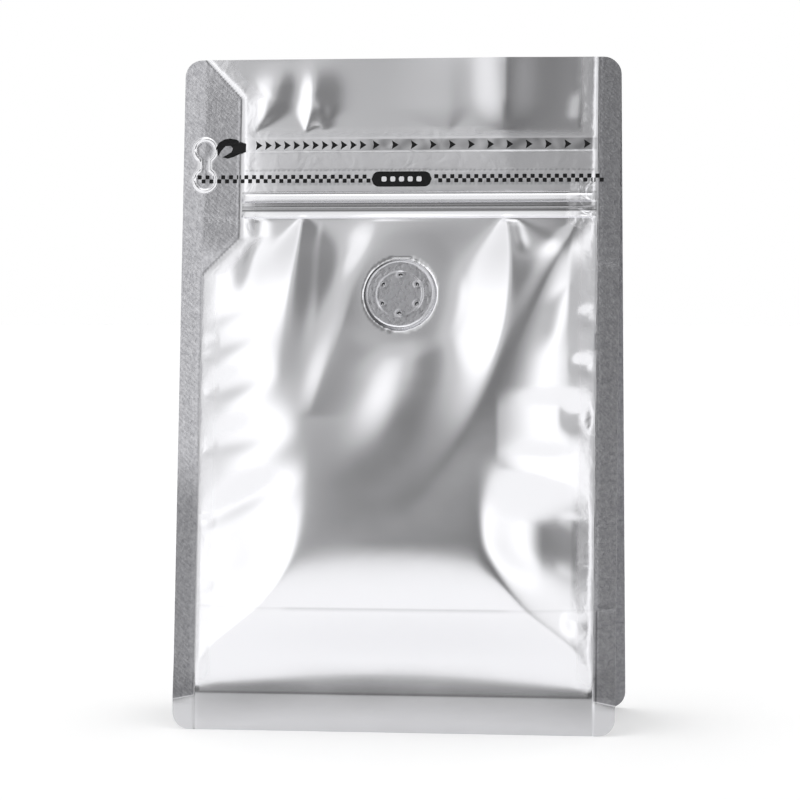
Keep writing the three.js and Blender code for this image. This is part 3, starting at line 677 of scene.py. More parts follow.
def film_rows(film):
    """Heights of the rings, close together at the corners and over the zipper."""
    turns = np.linspace(0, 1, CORNER_STEPS + 1)
    corner = [CORNER_RADIUS * (1 - np.cos(t * np.pi / 2)) for t in turns]
    rows = spaced(CORNER_RADIUS, (17, 0.4), (38, 0.6), (147, 0.8), (176, 0.27),
                  (film.height - CORNER_RADIUS, 0.7))
    top = [film.height - rise for rise in reversed(corner)]
    return np.concatenate([corner[:-1], rows, top[1:]])


def ring_columns(film, z):
    """The front, right gusset, back and left gusset at one height, as (x, y) points, with
    how far each point lies inside the free film."""
    tip = film.outline(z)
    fin = spaced(0, (1, 1 / FRONT_FIN_STEPS))
    to_edge = mix(tip, film.edge, fin)
    panel = spaced(-film.edge, WIDE_SEAL_COLUMNS, (film.edge, FRONT_COLUMN))
    x = np.concatenate([-to_edge[:-1], panel, to_edge[::-1][1:]])
    heights = np.full(len(x), z)
    front = np.stack([x, -film.front(x, heights), film.inside(x, heights)], 1)
    to_tip = mix(film.edge, tip, np.linspace(1, 0, BACK_FIN_STEPS + 1))
    panel = spaced(film.edge, (-film.edge, BACK_COLUMN))
    x = np.concatenate([to_tip, panel[1:-1], -to_tip[::-1]])
    back = np.stack([x, film.back(x, np.full(len(x), z)), film.edge - np.abs(x)], 1)
    inner = film.seam(np.array([z]))[0] - film.fin_thick
    sides = []
    for side in (1, -1):
        shares = np.linspace(-1, 1, GUSSET_POINTS)
        roots = np.where((shares < 0) & (side < 0), film.left_edge(np.array([z]))[0], film.edge)
        across = side * film.gusset(np.abs(shares), np.full(GUSSET_POINTS, z), roots)
        leaf = np.stack([across, inner * shares, 1 - np.abs(shares)], 1)
        tips = np.array([[side * mix(tip, film.edge, t), 0, -1] for t in (0, 0.5)])
        front_fin = tips + [[0, film.curl(place, z) - inner, 0] for place in tips[:, 0]]
        back_fin = tips[::-1] + [[0, inner, 0]]
        sides.append(np.concatenate([front_fin, leaf, back_fin]))
    return np.concatenate([front, sides[0], back, sides[1][::-1]])


def ring_quads(first, second, count):
    """Faces between two rings of vertices, given by their first vertex."""
    k = np.arange(count)
    after = (k + 1) % count
    return np.stack([first + k, first + after, second + after, second + k], 1)


def round_rectangle(half_x, half_y, radius, angles):
    """Points of a round-cornered rectangle in the directions of the angles."""
    power = 2 + 10 * (1 - radius / half_y)
    cos, sin = np.cos(angles), np.sin(angles)
    reach = (np.abs(cos / half_x) ** power + np.abs(sin / half_y) ** power) ** (-1 / power)
    return reach * cos, reach * sin


def make_mesh(name, points, faces, sharp=None):
    """A mesh object from points in mm and faces, smooth but for edges over an angle."""
    mesh = bpy.data.meshes.new(name)
    mesh.from_pydata((np.asarray(points, float) * MM).tolist(), [], [list(f) for f in faces])
    mesh.validate()
    mesh.update()
    mesh.shade_smooth()
    if sharp:
        mesh.set_sharp_from_angle(angle=np.radians(sharp))
    piece = bpy.data.objects.new(name, mesh)
    bpy.context.scene.collection.objects.link(piece)
    return piece


def store(piece, name, values):
    """Keeps one number for each vertex, for the material to read."""
    attribute = piece.data.attributes.new(name, "FLOAT", "POINT")
    attribute.data.foreach_set("value", np.asarray(values, np.float32))


def dress(piece, material, slot, *replaced):
    """Gives a piece its material and its place in the frame."""
    piece.data.materials.append(material)
    if replaced:
        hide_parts(*replaced)
    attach(piece, "root")


def ripple(x, z):
    """An uneven pattern between 0 and 1, a few millimetres coarse."""
    first = np.sin(1.3 * x + 1.9 * np.sin(0.37 * x + 0.6 * z))
    return 0.5 + 0.25 * first + 0.25 * np.sin(0.53 * x - 1.1 * z + 2.1 * np.sin(0.21 * x))


def above_mitre(film, x, z):
    """How far a point of a fin lies above the smooth foot strip, which takes in the fins;
    its edge slants down a little to their tips."""
    return z - (film.strip - 1 - 0.2 * np.maximum(0, np.abs(x) - film.edge))


def film_painted_shade(film, points):
    """How much shade is painted into the sharp lines of the film and over its fins, from 0 to 1."""
    x, y, z = points[:, 0], points[:, 1], points[:, 2]
    on_front = y < 0
    edge = np.where(on_front, film.inside(x, z), film.edge - np.abs(x))
    # painted shade in the lines across the zipper, the last line with uneven dots
    between = (film.inside(x, z) > 0.5) & on_front
    darks = [between * amount * bell(z - height, half) for height, half, amount in DARK_LINES]
    dotted = 0.5 + 0.5 * np.sin(x * 4.2 + 1.7 * np.sin(x / 3.1))
    height, half, amount = DOTTED_LINE
    darks.append(between * amount * dotted * bell(z - height, half))
    # painted shadow under the checkers, but for the left end, and the tear strip right of the first
    # arrow darker and uneven
    under = smooth(159.2, 159.9, z) * smooth(161.2, 160.4, z) * smooth(-40, -34, x)
    darks.append(between * 0.3 * under * mix(0.3, 1, dotted))
    low, high = TEAR_STRIP
    tear = smooth(low, low + 0.3, z) * smooth(high, high - 0.3, z) * smooth(-14, -8, x)
    darks.append(between * tear * mix(0.15, 0.55, ripple(x, z)))
    # painted shade in the base gusset's fold, fainter past its ends, and along the top of the foot
    # strip
    base = on_front * mix(0.12, 0.35, smooth(-34, -29, x) * smooth(37, 31, x))
    darks.append(base * bell(z - BASE_FOLD_HEIGHT, 0.3))
    panel = on_front * smooth(film.edge + 0.3, film.edge, np.abs(x))
    darks.append(0.45 * panel * bell(z - film.strip, 0.35))
    # painted shade along the seams, then over the fins, of which the left one is left bright higher
    # up
    above = np.where(on_front, smooth(-1, 0.6, above_mitre(film, x, z)), 1)
    darks.append(0.6 * above * bell(edge + 0.15, 0.28))
    fin = np.where(x > 0, 0.42, mix(0.5, 0.02, smooth(62, 84, z))) * smooth(0.2, -0.3, edge)
    darks.append(fin * above)
    # painted shade where the seams end at the foot strip, and along the foot of the right seam
    corner = np.hypot(np.abs(x) - film.edge + 0.6, z - film.strip - 0.8)
    darks.append(0.6 * on_front * smooth(1.3, 0.5, corner))
    foot = above * on_front * (x > 0) * smooth(BASE_FOLD_HEIGHT + 0.5, BASE_FOLD_HEIGHT, z)
    darks.append(0.9 * foot * bell(edge + 1, 0.3))
    return np.maximum.reduce(darks)


LEAST_CRUMPLE = 0.003


def film_crumple(film, points):
    """How crumpled the film is: most at the crushed right end of the zipper, then on the
    zipper's tape and along the seams."""
    x, y, z = points[:, 0], points[:, 1], points[:, 2]
    on_front = y < 0
    edge = np.where(on_front, film.inside(x, z), film.edge - np.abs(x))
    seams = 0.2 * smooth(7, 1, edge) * smooth(film.strip, film.strip + 8, z)
    tape = 0.09 * on_front * smooth(156.5, 158, z) * smooth(177, 174, z)
    crushed = on_front * smooth(49, 55, x) * smooth(146, 150, z) * smooth(176, 156, z)
    most = np.maximum.reduce([seams, tape, 0.6 * crushed])
    return np.maximum(LEAST_CRUMPLE, most) * smooth(-PRESSED_BLEND, PRESSED_BLEND, edge)


# A seal counts as deeper the farther in it lies, up to this, and the tab's bead takes this
# many times its height off, so that it keeps the film's gloss
DEEPEST_SEAL = 0.6
BEAD_GLOSS = 4


def build_film(film):
    """The closed skin of the bag: rings up the body, the base film and the mouth."""
    rows = film_rows(film)
    rings = [ring_columns(film, z) for z in rows]
    count = len(rings[0])
    points = [np.column_stack([ring[:, :2], np.full(count, z)]) for ring, z in zip(rings, rows)]
    seal = []
    for ring, z in zip(rings, rows):
        on_front = ring[:, 1] < 0
        bead = BEAD_GLOSS * film.tab_bead(ring[:, 0], np.full(count, z)) * on_front
        mitre = np.where(on_front, above_mitre(film, ring[:, 0], z), 1)
        seal.append(np.minimum(np.minimum(-ring[:, 2], mitre), DEEPEST_SEAL - bead))
    faces = [ring_quads(i * count, (i + 1) * count, count) for i in range(len(rows) - 1)]
    # under the bag: the rim's foot, its inner face and the base film that sags to the ground
    foot = points[0]
    angles = np.arctan2(foot[:, 1], foot[:, 0])
    half_y = film.seam(np.array([0.0]))[0]
    outer = 0
    for inset, z in BASE_RINGS:
        x, y = round_rectangle(film.edge - inset, half_y - inset, BASE_CORNER, angles)
        inner = len(points) * count
        points.append(np.column_stack([x, y, np.full(count, z)]))
        seal.append(np.full(count, -1.0))
        faces.append(ring_quads(inner, outer, count))
        outer = inner
    middle = len(points) * count
    fan = [[outer + k, middle, outer + (k + 1) % count] for k in range(count)]
    # the mouth: a narrow oval slit between the two films
    turn = np.linspace(0, 2 * np.pi, SLIT_POINTS, endpoint=False)
    half_x, half_y = SLIT_HALF
    slit = np.column_stack([half_x * np.cos(turn), half_y * np.sin(turn)])
    lip = middle + 1
    floor = lip + SLIT_POINTS
    points.append(np.zeros((1, 3)))
    for z in (film.height, film.height - SLIT_DEEP):
        points.append(np.column_stack([slit, np.full(SLIT_POINTS, z)]))
    points = np.concatenate(points)
    seal = np.concatenate([*seal, np.full(1 + 2 * SLIT_POINTS, -1.0)])
    top = (len(rows) - 1) * count
    contour = [Vector(points[top + k]) for k in range(count)]
    hole = [Vector(points[lip + k]) for k in range(SLIT_POINTS)]
    index = list(range(top, top + count)) + list(range(lip, lip + SLIT_POINTS))
    cap = []
    for a, b, c in tessellate_polygon([contour, hole]):
        a, b, c = index[a], index[b], index[c]
        corners = points[[a, b, c]]
        area = np.cross(corners[1] - corners[0], corners[2] - corners[0])[2]
        cap.append([a, b, c] if area > 0 else [a, c, b])
    wall = ring_quads(floor, lip, SLIT_POINTS)[:, ::-1]
    bottom = [list(range(floor, floor + SLIT_POINTS))]
    all_faces = [face for block in faces for face in block.tolist()]
    all_faces += fan + cap + wall.tolist() + bottom
    piece = make_mesh("foil_pouch", points, all_faces, sharp=50)
    store(piece, "seal", seal)
    store(piece, "shade", film_painted_shade(film, points))
    store(piece, "crumple", film_crumple(film, points))
    return piece


# ----------------------------------------------------------------------------- the valve


def ring_points(radius, height, count):
    turn = np.linspace(0, 2 * np.pi, count, endpoint=False)
    return np.column_stack([radius * np.cos(turn), radius * np.sin(turn), np.full(count, height)])


# The pinholes: how far they lie from the valve's middle, and the circle round each where
# the film bulges
PINHOLE_CIRCLE = 5.8
PINHOLE_BULGE = 0.85

# The valve's face: height of the sunk ring, of the rim, of the middle above the ring and
# of the lip round it, and the number of rings and of points on each
RING_PROUD = VALVE_PROUD - 0.35
RIM_PROUD = 0.28
MIDDLE_PROUD = 0.06
LIP_PROUD = 0.12
FACE_RINGS = 62
RIM_RINGS = 16
FACE_POINTS = 120


def from_pinholes(sizes, u, v):
    """The distances of points on the valve's face from each of its pinholes."""
    turns = [np.pi / 2 + 2 * np.pi * k / sizes.pinholes for k in range(sizes.pinholes)]
    return [np.hypot(u - PINHOLE_CIRCLE * np.cos(turn), v - PINHOLE_CIRCLE * np.sin(turn))
            for turn in turns]


def valve_height(sizes, u, v):
    """Height of the valve's face: a rim, a sunk ring, a raised middle and dimpled holes."""
    away = np.hypot(u, v)
    radius = sizes.radius / MM
    inner = sizes.inner / MM
    rim = bell(away - radius + 0.55, 0.45) * RIM_PROUD
    step = MIDDLE_PROUD * smooth(inner + 0.35, inner - 0.35, away)
    # the lip is highest at the right
    right = 0.25 + 0.75 * np.maximum(0, u / np.maximum(away, 0.1)) ** 3
    lip = LIP_PROUD * right * bell(away - inner + 0.2, 0.3)
    height = RING_PROUD + rim + step + lip
    height = height - 0.5 * smooth(radius - 0.35, radius, away)
    for from_hole in from_pinholes(sizes, u, v):
        height = height + 0.1 * bell(from_hole - PINHOLE_BULGE, 0.35)
        height = height - 0.9 * smooth(0.5, 0.28, from_hole)
    grain = 0.03 * np.sin(3.1 * u + 2 * np.sin(1.7 * v)) * np.sin(2.7 * v + 1.3 * np.sin(2.3 * u))
    return height + grain * smooth(inner, inner + 1, away)


def build_valve(film, sizes):
    """A fine disc of rings under a height field, with a side wall and a flat back."""
    radius = sizes.radius / MM
    radii = np.concatenate([np.linspace(0.12, radius - 1.6, FACE_RINGS),
                            np.linspace(radius - 1.5, radius, RIM_RINGS)])
    count = FACE_POINTS
    rings = [ring_points(r, 0, count) for r in radii]
    flat = np.concatenate([np.zeros((1, 3)), *rings])
    height = valve_height(sizes, flat[:, 0], flat[:, 1])
    back = ring_points(radius, VALVE_PROUD - VALVE_THICK, count)
    local = np.column_stack([flat[:, :2], height])
    local = np.concatenate([local, back, [[0, 0, VALVE_PROUD - VALVE_THICK]]])
    faces = [[0, 1 + k, 1 + (k + 1) % count] for k in range(count)]
    for i in range(len(radii) - 1):
        faces += ring_quads(1 + i * count, 1 + (i + 1) * count, count)[:, ::-1].tolist()
    edge = 1 + (len(radii) - 1) * count
    under = edge + count
    faces += ring_quads(edge, under, count)[:, ::-1].tolist()
    faces += [[under + (k + 1) % count, under + k, under + count] for k in range(count)]
    # onto the film: the disc's own up looks out of the valve's plane
    x_axis = np.array([1, -film.valve_turn, 0])
    z_axis = np.array([0, film.valve_lean, 1])
    x_axis = x_axis / np.linalg.norm(x_axis)
    z_axis = z_axis / np.linalg.norm(z_axis)
    out = np.cross(x_axis, z_axis)
    centre = np.array([film.valve[0], -film.valve_depth, film.valve[1]])
    points = centre + local[:, :1] * x_axis + local[:, 1:2] * z_axis + local[:, 2:] * out
    piece = make_mesh("valve_disc", points, faces, sharp=55)
    # painted shade in the pinholes and along the left of the rim
    u, v = local[:, 0], local[:, 1]
    holes = np.zeros(len(local))
    for from_hole in from_pinholes(sizes, u, v):
        holes = np.maximum(holes, smooth(0.6, 0.35, from_hole))
    side = clamp01(0.3 - 1.4 * u / radius) * smooth(radius - 0.9, radius - 0.5, np.hypot(u, v))
    store(piece, "shade", np.maximum(holes, 0.85 * side))
    return piece


# ---------------------------------------------------------------------------- the prints

# A print's plate stands out of the film and reaches into it by this much
INK_PROUD = 0.05
INK_SUNK = 0.2


def print_plates(film, name, outlines, proud=INK_PROUD):
    """Thin closed plates on the film, one for each outline of (x, z) points that runs
    counterclockwise as seen from the front."""
    points, faces = [], []
    for outline in outlines:
        outline = np.array(outline, float)
        count = len(outline)
        first = len(points)
        depth = film.front(outline[:, 0], outline[:, 1])
        for offset in (proud, -INK_SUNK):
            points += np.column_stack([outline[:, 0], -depth - offset, outline[:, 1]]).tolist()
        corners = [Vector((x, z, 0)) for x, z in outline]
        for a, b, c in tessellate_polygon([corners]):
            ab = outline[b] - outline[a]
            ac = outline[c] - outline[a]
            if ab[0] * ac[1] - ab[1] * ac[0] < 0:
                b, c = c, b
            faces.append([first + a, first + b, first + c])
            faces.append([first + count + a, first + count + c, first + count + b])
        for k in range(count):
            after = (k + 1) % count
            faces.append([first + k, first + count + k, first + count + after, first + after])
    return make_mesh(name, points, faces, sharp=30)


def cut_square(x, z, half, cut=0.1):
    """A square with its corners cut."""
    c = half - cut
    return [(x + u, z + v) for u, v in [(-c, -half), (c, -half), (half, -c), (half, c),
                                        (c, half), (-c, half), (-half, c), (-half, -c)]]


def pill_strips(x0, x1, z, half, step=0.6):
    """A round-ended bar, cut into narrow upright strips so that it follows the film."""
    edges = np.linspace(x0, x1, round((x1 - x0) / step) + 1)
    into = half - np.minimum(np.minimum(edges - x0, x1 - edges), half)
    reach = np.maximum(np.sqrt(np.maximum(0, half**2 - into**2)), 0.05)
    top = [(x, z + r) for x, r in zip(edges[::-1], reach[::-1])]
    return [(x, z - r) for x, r in zip(edges, reach)] + top


# Rows of the checker band: their height and where they start
CHECKER_ROWS = [(162.05, -60.0), (160.85, -58.8)]
CHECKER_END = 60.6
CHECKER_HALF = 0.6

# The label over the middle of the band, the gap round it and its five marks
LABEL_CENTRE = (0.8, 161.3)
LABEL_HALF = 2.25
LABEL_CLEAR = 0.3
MARK_PITCH = 2.6
MARK_HALF = 0.75
MARK_CUT = 0.3
MARK_PROUD = INK_PROUD + 0.03

# Arrowheads on the tear strip: in a row to the right, and twice as close from the left
ARROW_HEIGHT = 171.4
ARROW_FIRST = -7.9
ARROW_LAST = 55.3
CLOSE_ARROW_FIRST = -43


def checker_outlines(sizes):
    pitch = sizes.checker_pitch / MM
    clear = sizes.label_width / MM / 2 + LABEL_CLEAR
    outlines = []
    for z, start in CHECKER_ROWS:
        for x in np.arange(start, CHECKER_END, pitch):
            if abs(x - LABEL_CENTRE[0]) > clear:
                outlines.append(cut_square(x, z, CHECKER_HALF))
    return outlines


def arrow_outline(x, z, tall=1.3, long=2, notch=0.3):
    return [(x, z - tall), (x + long, z), (x, z + tall), (x + notch, z)]


def arrow_outlines(sizes):
    pitch = sizes.arrow_pitch / MM
    row = np.arange(ARROW_FIRST, ARROW_LAST + 1, pitch)
    close = np.arange(CLOSE_ARROW_FIRST, ARROW_FIRST - pitch / 3, pitch / 2)
    return [arrow_outline(x, ARROW_HEIGHT) for x in np.concatenate([row, close])]


# A closed hand that points left and holds the tab: its palm, first finger, back and wrist,
# and the thumb that meets the finger's tip
HAND = [(-48, 169), (-50.6, 169.4), (-50.1, 170.6), (-50.8, 171.4), (-52.4, 171.3),
        (-53.7, 169.8), (-54.5, 168.4), (-55.2, 170.5), (-54.4, 172.3), (-52.8, 173.3),
        (-51, 173.6), (-49.2, 173.3), (-47.6, 172.5), (-46, 172), (-46, 169.5)]
THUMB = [(-48, 169), (-50.6, 169.5), (-52.1, 168.6), (-53.3, 168), (-51.6, 167.6),
         (-49.8, 168.1)]


# ----------------------------------------------------------------------------- materials


def add(tree, kind, settings=None, links=None):
    """Adds one node. Settings are its properties and the numbers of its inputs; links
    join its inputs to other nodes' outputs."""
    node = tree.nodes.new(kind)
    for key, value in (settings or {}).items():
        if isinstance(key, str) and hasattr(node, key):
            setattr(node, key, value)
        else:
            node.inputs[key].default_value = value
    for key, (source, output) in (links or {}).items():
        tree.links.new(source.outputs[output], node.inputs[key])
    return node


def per_metre(size):
    """The scale of a pattern whose features are this many mm wide."""
    return 1 / (size * MM)


def ribs_per_metre(spacing):
    """The scale of diagonal bands that are this many mm apart on an upright panel."""
    return 2 * np.pi / (10 * np.sqrt(2)) * per_metre(spacing)


def new_material(name):
    material = bpy.data.materials.new(name)
    material.use_nodes = True
    material.node_tree.nodes.clear()
    return material, material.node_tree


def colour(value):
    return (*value, 1)


def metallised_film(finishes):
    """Metallised polyester film, laminated: an aluminium layer under a satin face, so it
    mirrors the studio in soft blurred bands. The seal bar leaves a fine knurl that is
    rougher and greyer."""
    material, tree = new_material("metallised_polyester_laminated")
    place = add(tree, "ShaderNodeTexCoord")
    seal = add(tree, "ShaderNodeAttribute", {"attribute_name": "seal"})
    shade = add(tree, "ShaderNodeAttribute", {"attribute_name": "shade"})
    pressed = add(tree, "ShaderNodeMapRange",
                  {"interpolation_type": "SMOOTHSTEP", 1: -0.1, 2: 0.35}, {0: (seal, "Fac")})
    # the knurl's ribs are 0.6 mm apart; they are drawn 1 mm apart to show in the render
    ribs = add(tree, "ShaderNodeTexWave",
               {"bands_direction": "DIAGONAL", "Scale": ribs_per_metre(1.0578), "Distortion": 3,
                "Detail": 2}, {"Vector": (place, "Object")})
    # uneven pressure of the seal bar, in patches of 1 to 2 mm
    patches = add(tree, "ShaderNodeTexNoise",
                  {"Scale": per_metre(1.25), "Detail": 3, "Roughness": 0.65},
                  {"Vector": (place, "Object")})
    uneven = add(tree, "ShaderNodeMath", {"operation": "MULTIPLY_ADD", 1: 0.1},
                 {0: (ribs, "Fac"), 2: (patches, "Fac")})
    press = add(tree, "ShaderNodeMath", {"operation": "MULTIPLY"},
                {0: (uneven, "Value"), 1: (pressed, "Result")})
    knurl_bump = add(tree, "ShaderNodeBump", {"Strength": 0.5, "Distance": 0.00025},
                     {"Height": (press, "Value")})
    # crumples 2 to 5 mm wide, as strong as the attribute says
    crumple = add(tree, "ShaderNodeAttribute", {"attribute_name": "crumple"})
    creased = add(tree, "ShaderNodeTexNoise",
                  {"Scale": per_metre(5), "Detail": 2, "Distortion": 0.8},
                  {"Vector": (place, "Object")})
    crumpled = add(tree, "ShaderNodeMath", {"operation": "MULTIPLY"},
                   {0: (creased, "Fac"), 1: (crumple, "Fac")})
    grain_bump = add(tree, "ShaderNodeBump", {"Strength": 1, "Distance": 0.0012},
                     {"Height": (crumpled, "Value"), "Normal": (knurl_bump, "Normal")})
    # the satin face is a little duller where hands and cartons have rubbed it, in places
    # about 3 cm wide, and where it is crumpled
    rubbed = add(tree, "ShaderNodeTexNoise", {"Scale": per_metre(29.4), "Detail": 4},
                 {"Vector": (place, "Object")})
    satin = add(tree, "ShaderNodeMapRange", {1: 0.3, 2: 0.7, 3: 0.17, 4: 0.21},
                {0: (rubbed, "Fac")})
    matted = add(tree, "ShaderNodeMapRange", {1: 0.03, 2: 0.09, 3: 0, 4: 0.1},
                 {0: (crumple, "Fac")})
    duller = add(tree, "ShaderNodeMath", {"operation": "ADD"},
                 {0: (satin, "Result"), 1: (matted, "Result")})
    rough = add(tree, "ShaderNodeMix", {"data_type": "FLOAT", 3: 0.36},
                {0: (pressed, "Result"), 2: (duller, "Value")})
    # the pressed film is greyer in some patches than in others
    pressed_tint = add(tree, "ShaderNodeMix",
                       {"data_type": "RGBA", 6: colour(linear("8E8E93")), 7: colour(finishes.seal)},
                       {0: (patches, "Fac")})
    tint = add(tree, "ShaderNodeMix", {"data_type": "RGBA", 6: colour(finishes.foil)},
               {0: (pressed, "Result"), 7: (pressed_tint, 2)})
    # painted shade: the shade attribute darkens the film in its creases, along its seams, under the
    # checkers and on its fins
    painted_shade_tint = add(tree, "ShaderNodeMix", {"data_type": "RGBA", 7: colour(linear("3A3A3D"))},
                {0: (shade, "Fac"), 6: (tint, 2)})
    shader = add(tree, "ShaderNodeBsdfPrincipled", {"Metallic": 1},
                 {"Base Color": (painted_shade_tint, 2), "Roughness": (rough, 0),
                  "Normal": (grain_bump, "Normal")})
    add(tree, "ShaderNodeOutputMaterial", None, {"Surface": (shader, "BSDF")})
    return material


def pressed_valve_film(finishes):
    """The same film drawn over the moulded valve: thinner, so it shows the ring's grain
    and is greyer, with shade painted into its pinholes and along the left of its rim."""
    material, tree = new_material("metallised_polyester_drawn_over_valve")
    place = add(tree, "ShaderNodeTexCoord")
    shade = add(tree, "ShaderNodeAttribute", {"attribute_name": "shade"})
    # moulding grain of the valve under the film, about 1 mm
    grain = add(tree, "ShaderNodeTexNoise", {"Scale": per_metre(1.111), "Detail": 2},
                {"Vector": (place, "Object")})
    bump = add(tree, "ShaderNodeBump", {"Strength": 0.25, "Distance": 0.0002},
               {"Height": (grain, "Fac")})
    rough = add(tree, "ShaderNodeMapRange", {1: 0.3, 2: 0.7, 3: 0.24, 4: 0.34},
                {0: (grain, "Fac")})
    # painted shade: the shade attribute darkens the film in the pinholes and along the left of the
    # rim
    tint = add(tree, "ShaderNodeMix",
               {"data_type": "RGBA", 6: colour(finishes.valve), 7: colour(linear("161618"))},
               {0: (shade, "Fac")})
    shader = add(tree, "ShaderNodeBsdfPrincipled", {"Metallic": 1},
                 {"Base Color": (tint, 2), "Roughness": (rough, "Result"),
                  "Normal": (bump, "Normal")})
    add(tree, "ShaderNodeOutputMaterial", None, {"Surface": (shader, "BSDF")})
    return material


def gravure_ink(finishes):
    """Solvent gravure ink on film: dense and black with a low gloss, slightly mottled."""
    material, tree = new_material("gravure_ink_black")
    place = add(tree, "ShaderNodeTexCoord")
    # mottled in spots of two thirds of a millimetre
    mottle = add(tree, "ShaderNodeTexNoise", {"Scale": per_metre(2 / 3), "Detail": 2},
                 {"Vector": (place, "Object")})
    rough = add(tree, "ShaderNodeMapRange", {1: 0.3, 2: 0.7, 3: 0.38, 4: 0.55},
                {0: (mottle, "Fac")})
    tint = add(tree, "ShaderNodeMix",
               {"data_type": "RGBA", 6: colour(finishes.ink), 7: colour(linear("1A1A1C"))},
               {0: (mottle, "Fac")})
    shader = add(tree, "ShaderNodeBsdfPrincipled", {"Specular IOR Level": 0.2},
                 {"Base Color": (tint, 2), "Roughness": (rough, "Result")})
    add(tree, "ShaderNodeOutputMaterial", None, {"Surface": (shader, "BSDF")})
    return material


def bare_foil_mark(finishes):
    """Bare film left between the ink: the metal shows as light marks on the label."""
    material, tree = new_material("metallised_polyester_bare_mark")
    place = add(tree, "ShaderNodeTexCoord")
    # its grain is as coarse as the ink's spots
    grain = add(tree, "ShaderNodeTexNoise", {"Scale": per_metre(2 / 3)},
                {"Vector": (place, "Object")})
    rough = add(tree, "ShaderNodeMapRange", {3: 0.4, 4: 0.55}, {0: (grain, "Fac")})
    shader = add(tree, "ShaderNodeBsdfPrincipled",
                 {"Metallic": 1, "Base Color": colour(finishes.foil)},
                 {"Roughness": (rough, "Result")})
    add(tree, "ShaderNodeOutputMaterial", None, {"Surface": (shader, "BSDF")})
    return material


def paper_floor(finishes):
    """Matt coated paper: an even pale floor with no gloss."""
    material, tree = new_material("coated_paper_matt")
    place = add(tree, "ShaderNodeTexCoord")
    # clouds of fibre, about 17 mm wide
    fibre = add(tree, "ShaderNodeTexNoise", {"Scale": per_metre(16.7), "Detail": 3},
                {"Vector": (place, "Object")})
    rough = add(tree, "ShaderNodeMapRange", {3: 0.85, 4: 0.95}, {0: (fibre, "Fac")})
    shader = add(tree, "ShaderNodeBsdfPrincipled",
                 {"Base Color": colour(finishes.floor), "Specular IOR Level": 0.1,
                  "Emission Color": (1, 1, 1, 1), "Emission Strength": 0.2},
                 {"Roughness": (rough, "Result")})
    add(tree, "ShaderNodeOutputMaterial", None, {"Surface": (shader, "BSDF")})
    return material


# ------------------------------------------------------------------------------ the stage

# Where the photograph was taken from, in metres, and how the camera was turned, in degrees
CAMERA_PLACE = (0.1161, -0.9129, 0.1448)
CAMERA_PITCH = 3.06
CAMERA_YAW = -7.30
CAMERA_ROLL = -0.13

# Strength of the gap between the side boxes, the box overhead and the light off the floor
GAP_LIGHT = 0.13
OVERHEAD_LIGHT = 1.8
GROUND_LIGHT = 0.9


